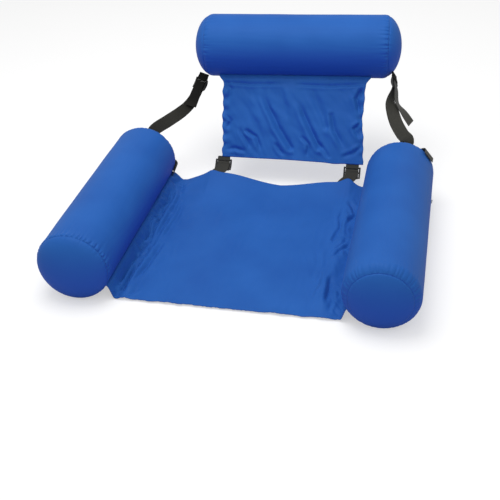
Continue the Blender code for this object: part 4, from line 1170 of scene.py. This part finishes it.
for name, shoulder in SHOULDERS.items():
    side = shoulder["side"]
    top_bar = chair_points([shoulder["top_bar"]])[0]
    place = buckle_place(top_bar, Vector(shoulder["down"]), Vector(shoulder["front"]))
    up_way = place.to_3x3() @ Vector((0, 1, 0))
    front_way = place.to_3x3() @ Vector((0, 0, 1))
    make_tab(name + "_shoulder_tab", top_bar, up_way, front_way, shoulder["tab"], painted_shade_polypropylene)
    sewn = [
        Vector((side * (ARM_SPREAD + out), ARM_REAR_Y + back, ARM_AXIS_HEIGHT + up))
        for out, back, up in SEWN_PLACES
    ]
    sewn_across = Vector((0.90, 0, 0.44 * side))
    route, widths = strap_route(
        place,
        -1,
        0,
        sewn + chair_points(shoulder["route"]),
        [sewn_across] * 3 + [Vector(way) for way in shoulder["across"]],
        chair_points(shoulder["tail"]),
        [Vector(way) for way in shoulder["tail_across"]],
        SHOULDER_STEPS,
        SHOULDER_TAIL_STEPS,
    )
    top = SHOULDER_STEPS + 1 + TURN_STEPS // 2
    lock = sum((end - start).length for start, end in zip(route[:top], route[1 : top + 1]))
    # Painted shade: each shoulder strap's webbing is darker near its lock.
    painted_shade = woven_polypropylene(name + "_strap_polypropylene_webbing", lock, *shoulder["painted_shade"])
    mesh = web_mesh(name, route, widths)
    strap = add_web(name + "_shoulder_webbing", mesh, None, name + "_shoulder_strap", painted_shade)
    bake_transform(strap)
    seat_boxes.append((sewn[0], sewn[1], sewn_across, Vector((0, 1, 0))))

LOWER_STEPS, LOWER_TAIL_STEPS = 40, 8
# A lower buckle tips this many degrees further than its strap slopes, and its strap is sewn to the
# seat this far left of the rise that it draws in the cloth.
LOCK_TIP, STRAP_LEFT = 13, 0.007
UNDER_SEAT, BEHIND_HEM, SHORT_TAIL = 0.0039, 0.0029, 0.002
# Each lower strap: its buckle, its place on the seat, its give to the side, and its tab's run behind the hem.
LOWER_STRAPS = (
    ("left", LOWER_TABS_X[0], STRAPS_AT[0], -0.0025, 0.0015),
    ("right", LOWER_TABS_X[1], STRAPS_AT[1], -0.0035, 0.016),
)

for name, buckle_x, (seat_x, slope), skew, tuck in LOWER_STRAPS:
    tilt = math.radians(slope + LOCK_TIP)
    down_way = Vector((0, -math.cos(tilt), -math.sin(tilt)))
    front_way = Vector((0, -math.sin(tilt), math.cos(tilt)))
    top_bar = Vector((buckle_x, FOLD_AXIS_Y, FOLD_AXIS_Z))
    place = buckle_place(top_bar, down_way, front_way)
    tucked = [(BACK_HEM_RISE + tuck * share, BEHIND_HEM) for share in (0.2, 0.6, 1.0)]
    make_tab(name + "_lower_tab", top_bar, BACK_UP, BACK_FRONT, BACK_HEM_RISE - 0.001, polypropylene, tucked)
    under = UNDER_SEAT / math.cos(math.radians(slope))
    lower = []
    for along, share in ((0.92, 0.0), (0.96, 0.1), (1.0, 0.2)):
        x = seat_x - STRAP_LEFT + (buckle_x - seat_x) * share
        lower.append(Vector((x, SEAT_FRONT_Y + SEAT_LENGTH * along, seat_height(x, along) - under)))
    tail = in_buckle(place, END_V - SHORT_TAIL, bow_at(END_V) - END_BAR - WEB_LIFT)
    level = Vector((1, 0, 0))
    route, widths = strap_route(
        place, 1, skew, lower, [level] * 3, [tail], [level], LOWER_STEPS, LOWER_TAIL_STEPS
    )
    add_web(name + "_lower_webbing", web_mesh(name, route, widths, shear=0.6), "seat", name + "_lower_strap")

# Each arm band: its side, its tilt and its outer end in degrees, and which end stands proud of the cap.
ARM_BANDS = (("left", -1, 24, 68, -1), ("right", 1, 38, 90, 1))
BAND_STEPS, BAND_LIFT = 48, 0.0019
# That end stands this far proud, the most at this many degrees from the tip, and fades over this many.
STAND, STAND_AT, STAND_WIDTH = 0.0055, 72, 20
# Past the dome's rim a band runs on along the sleeve, by two of these steps.
SLEEVE_STEP = Vector((0, -0.006, 0))


def band_point(side, tilt, lean, lift):
    """A place on the rear cap, lean round from its tip in the band's own plane."""
    rim, rise = ARM_RADIUS * math.sin(lean), ARM_DOME * math.cos(lean)
    normal = Vector((rim / ARM_RADIUS**2, rise / ARM_DOME**2)).normalized()
    out, back = rim + normal.x * lift, rise + normal.y * lift
    x, z = out * math.cos(tilt), out * math.sin(tilt)
    return Vector((side * (ARM_SPREAD + x), ARM_REAR_Y - ARM_DOME + back, ARM_AXIS_HEIGHT + z))


for name, side, tilt, outer_end, proud in ARM_BANDS:
    tilt = math.radians(tilt)
    route = []
    for index in range(BAND_STEPS + 1):
        degrees = -90 + (outer_end + 90) * index / BAND_STEPS
        stand = STAND * math.exp(-(((degrees * proud - STAND_AT) / STAND_WIDTH) ** 2))
        route.append(band_point(side, tilt, math.radians(degrees), BAND_LIFT + stand))
    route = [route[0] + SLEEVE_STEP * step for step in (2, 1)] + route
    if outer_end == 90:
        route += [route[-1] + SLEEVE_STEP * step for step in (1, 2)]
    across = Vector((-side * math.sin(tilt), 0, math.cos(tilt)))
    band = web_mesh(name + "_band", route, [across] * len(route))
    add_web(name + "_arm_band_webbing", band, "seat", name + "_arm_band")
    out_way = Vector((side * math.cos(tilt), 0, math.sin(tilt)))
    seat_boxes.append((route[-1], route[-4], across, out_way))
    seat_boxes.append((route[0], route[3], across, -out_way))

# The stitching and the valve holes' bindings
# Single rows of lock stitch along the hems and seams, boxes with a cross where webbing is sewn down,
# and a narrow binding round each valve's hole.


# Bonded nylon thread, 0.5 mm thick: a dull filament twisted every 0.45 mm, with a faint sheen along its top.
TWIST = 0.000455


def sewing_thread(name, dark, pale):
    thread = new_material(name)
    place = add_node(thread, "ShaderNodeTexCoord", {})
    twist = add_node(
        thread,
        "ShaderNodeTexWave",
        {"bands_direction": "DIAGONAL", "Scale": 1 / TWIST / BANDS_PER_METRE, "Distortion": 0.4},
        [("Vector", place, "Object")],
    )
    colour = add_node(thread, "ShaderNodeValToRGB", {}, [("Fac", twist, "Fac")])
    colour.color_ramp.elements[0].color = linear(dark)
    colour.color_ramp.elements[1].color = linear(pale)
    bump = add_node(
        thread,
        "ShaderNodeBump",
        {"Strength": 0.4, "Distance": 0.0001},
        [("Height", twist, "Fac")],
    )
    surface = add_node(
        thread,
        "ShaderNodeBsdfPrincipled",
        {"Roughness": 0.5, "IOR": 1.53, "Sheen Weight": 0.1},
        [("Base Color", colour, "Color"), ("Normal", bump, "Normal")],
    )
    add_node(thread, "ShaderNodeOutputMaterial", {}, [("Surface", surface, "BSDF")])
    return thread


blue_thread = sewing_thread("bonded_nylon_thread_blue", "#1d4b96", "#2c62b4")
black_thread = sewing_thread("bonded_nylon_thread_black", "#0a0a0a", "#161616")
THREAD_HALF, THREAD_RISE = 0.00030, 0.00022
# The spindles leave this share of each step bare at both ends, where the thread dips into the cloth.
STITCH_GAP = 0.14


def stitch_mesh(name, paths, lift):
    """One small spindle of thread for each step of each path of (place, way up) pairs."""
    verts, faces = [], []
    for path in paths:
        for (first, up_first), (second, up_second) in zip(path, path[1:]):
            base = len(verts)
            rise = (up_first + up_second).normalized()
            start = first.lerp(second, STITCH_GAP) + rise * lift
            end = first.lerp(second, 1 - STITCH_GAP) + rise * lift
            side = (end - start).cross(rise).normalized() * THREAD_HALF
            middle = (start + end) / 2 + rise * THREAD_RISE / 2
            high = rise * THREAD_RISE
            verts += [start, middle + side, middle + high, middle - side, middle - high, end]
            faces += [(base, base + 1 + turn, base + 1 + (turn + 1) % 4) for turn in range(4)]
            faces += [(base + 5, base + 1 + (turn + 1) % 4, base + 1 + turn) for turn in range(4)]
    mesh = bpy.data.meshes.new(name)
    mesh.from_pydata(verts, [], faces)
    return mesh


def grid_path(grid, picks, way):
    """Places along picked (row, column) pairs of a cloth's grid, each with the cloth's way up there."""
    last_row, last_column = len(grid) - 1, len(grid[0]) - 1
    path = []
    for row, column in picks:
        along = grid[min(row + 1, last_row)][column] - grid[max(row - 1, 0)][column]
        across = grid[row][min(column + 1, last_column)] - grid[row][max(column - 1, 0)]
        path.append((grid[row][column], across.cross(along).normalized() * way))
    return path


BOX_HALF, BOX_END, STITCH = 0.0145, 0.06, 0.0032


def box_paths(start, end, across, rise):
    """A sewn box with a cross in it, between two places on a strap."""
    half = across.normalized() * BOX_HALF
    run = (end - start) * BOX_END
    corners = [start + run - half, start + run + half, end - run + half, end - run - half]
    lines = [(0, 1), (1, 2), (2, 3), (3, 0), (0, 2), (1, 3)]
    paths = []
    for first, last in lines:
        count = max(2, round((corners[last] - corners[first]).length / STITCH))
        paths.append([(corners[first].lerp(corners[last], step / count), rise) for step in range(count + 1)])
    return paths


# The rows of stitches lie 3 or 4 grid steps in from each edge of a panel, given as (row, column) pairs.
seat_picks = [
    [(3, column) for column in range(1, SEAT_COLUMNS)],
    [(SEAT_ROWS - 3, column) for column in range(1, SEAT_COLUMNS)],
    [(row, 4) for row in range(1, SEAT_ROWS)],
    [(row, SEAT_COLUMNS - 4) for row in range(1, SEAT_ROWS)],
]
back_picks = [
    [(3, column) for column in range(1, BACK_COLUMNS)],
    [(BACK_ROWS - 3, column) for column in range(1, BACK_COLUMNS)],
    [(row, 3) for row in range(1, BACK_ROWS - 2)],
    [(row, BACK_COLUMNS - 3) for row in range(1, BACK_ROWS - 2)],
]
for name, grid, picks, thickness, body in (
    ("seat", seat_rows, seat_picks, SEAT_THICKNESS, "seat"),
    ("back", back_rows, back_picks, BACK_THICKNESS, "backrest"),
):
    paths = [grid_path(grid, pick, way) for pick in picks for way in (1, -1)]
    add_piece(name + "_stitching", stitch_mesh(name, paths, thickness / 2), blue_thread, body, [])
for name, boxes, body in (("seat", seat_boxes, "seat"), ("back", back_boxes, "backrest")):
    paths = [path for box in boxes for path in box_paths(*box)]
    mesh = stitch_mesh(name, paths, WEB_THICKNESS / 2)
    add_piece(name + "_webbing_stitching", mesh, black_thread, body, [])


# A binding's ring: how far it stands round the hole and out of the cover, and its half width and height.
BINDING_STEPS, BINDING_SIDES = 60, 8
BINDING_AROUND, BINDING_OUT = 0.0008, 0.0002
BINDING_HALF, BINDING_RISE = 0.0013, 0.0009


def weld_ring(work):
    """Joins the last turn of a ring to its first."""
    bmesh.ops.remove_doubles(work, verts=work.verts, dist=0.00002)


def binding_mesh(name, valve, roll, radius):
    """A narrow rolled ring of cloth round a valve's hole, bent to the roll's curve."""
    axis = roll.to_3x3() @ Vector((0, 0, 1))
    out_way = valve.to_3x3() @ Vector((0, 0, 1))
    round_way = axis.cross(out_way)
    from_tip = (valve.to_translation() - roll.to_translation()).dot(axis)
    centre = roll.to_translation() + axis * from_tip
    rows, cuts = [], []
    for turn in range(BINDING_STEPS + 1):
        angle = 2 * math.pi * turn / BINDING_STEPS
        ring = []
        for side in range(BINDING_SIDES):
            tilt = 2 * math.pi * side / BINDING_SIDES
            reach = VALVE_HOLE + BINDING_AROUND + BINDING_HALF * math.cos(tilt)
            lift = radius + BINDING_OUT + BINDING_RISE * math.sin(tilt)
            lean = math.asin(reach * math.sin(angle) / radius)
            around = out_way * math.cos(lean) + round_way * math.sin(lean)
            ring.append(centre + axis * reach * math.cos(angle) + around * lift)
        rows.append(ring)
        cuts.append([(turn * 0.0015, side * 0.001) for side in range(BINDING_SIDES + 1)])
    mesh = grid_mesh(name, rows, cuts, True)
    rework(mesh, weld_ring)
    return mesh


for name, roll in ROLLS.items():
    valve = valve_place(name + "_valve", roll["valve_way"])
    mesh = binding_mesh(name, valve, roll["frame"], roll["sizes"][0])
    add_piece(name + "_valve_binding", mesh, nylon, roll["body"], [])

# Sizes of the CAD parts and of the scene, and the end
visual_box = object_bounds()
boxes = {
    "cad": [list(corner) for corner in cad_box],
    "visual": [list(corner) for corner in visual_box],
}
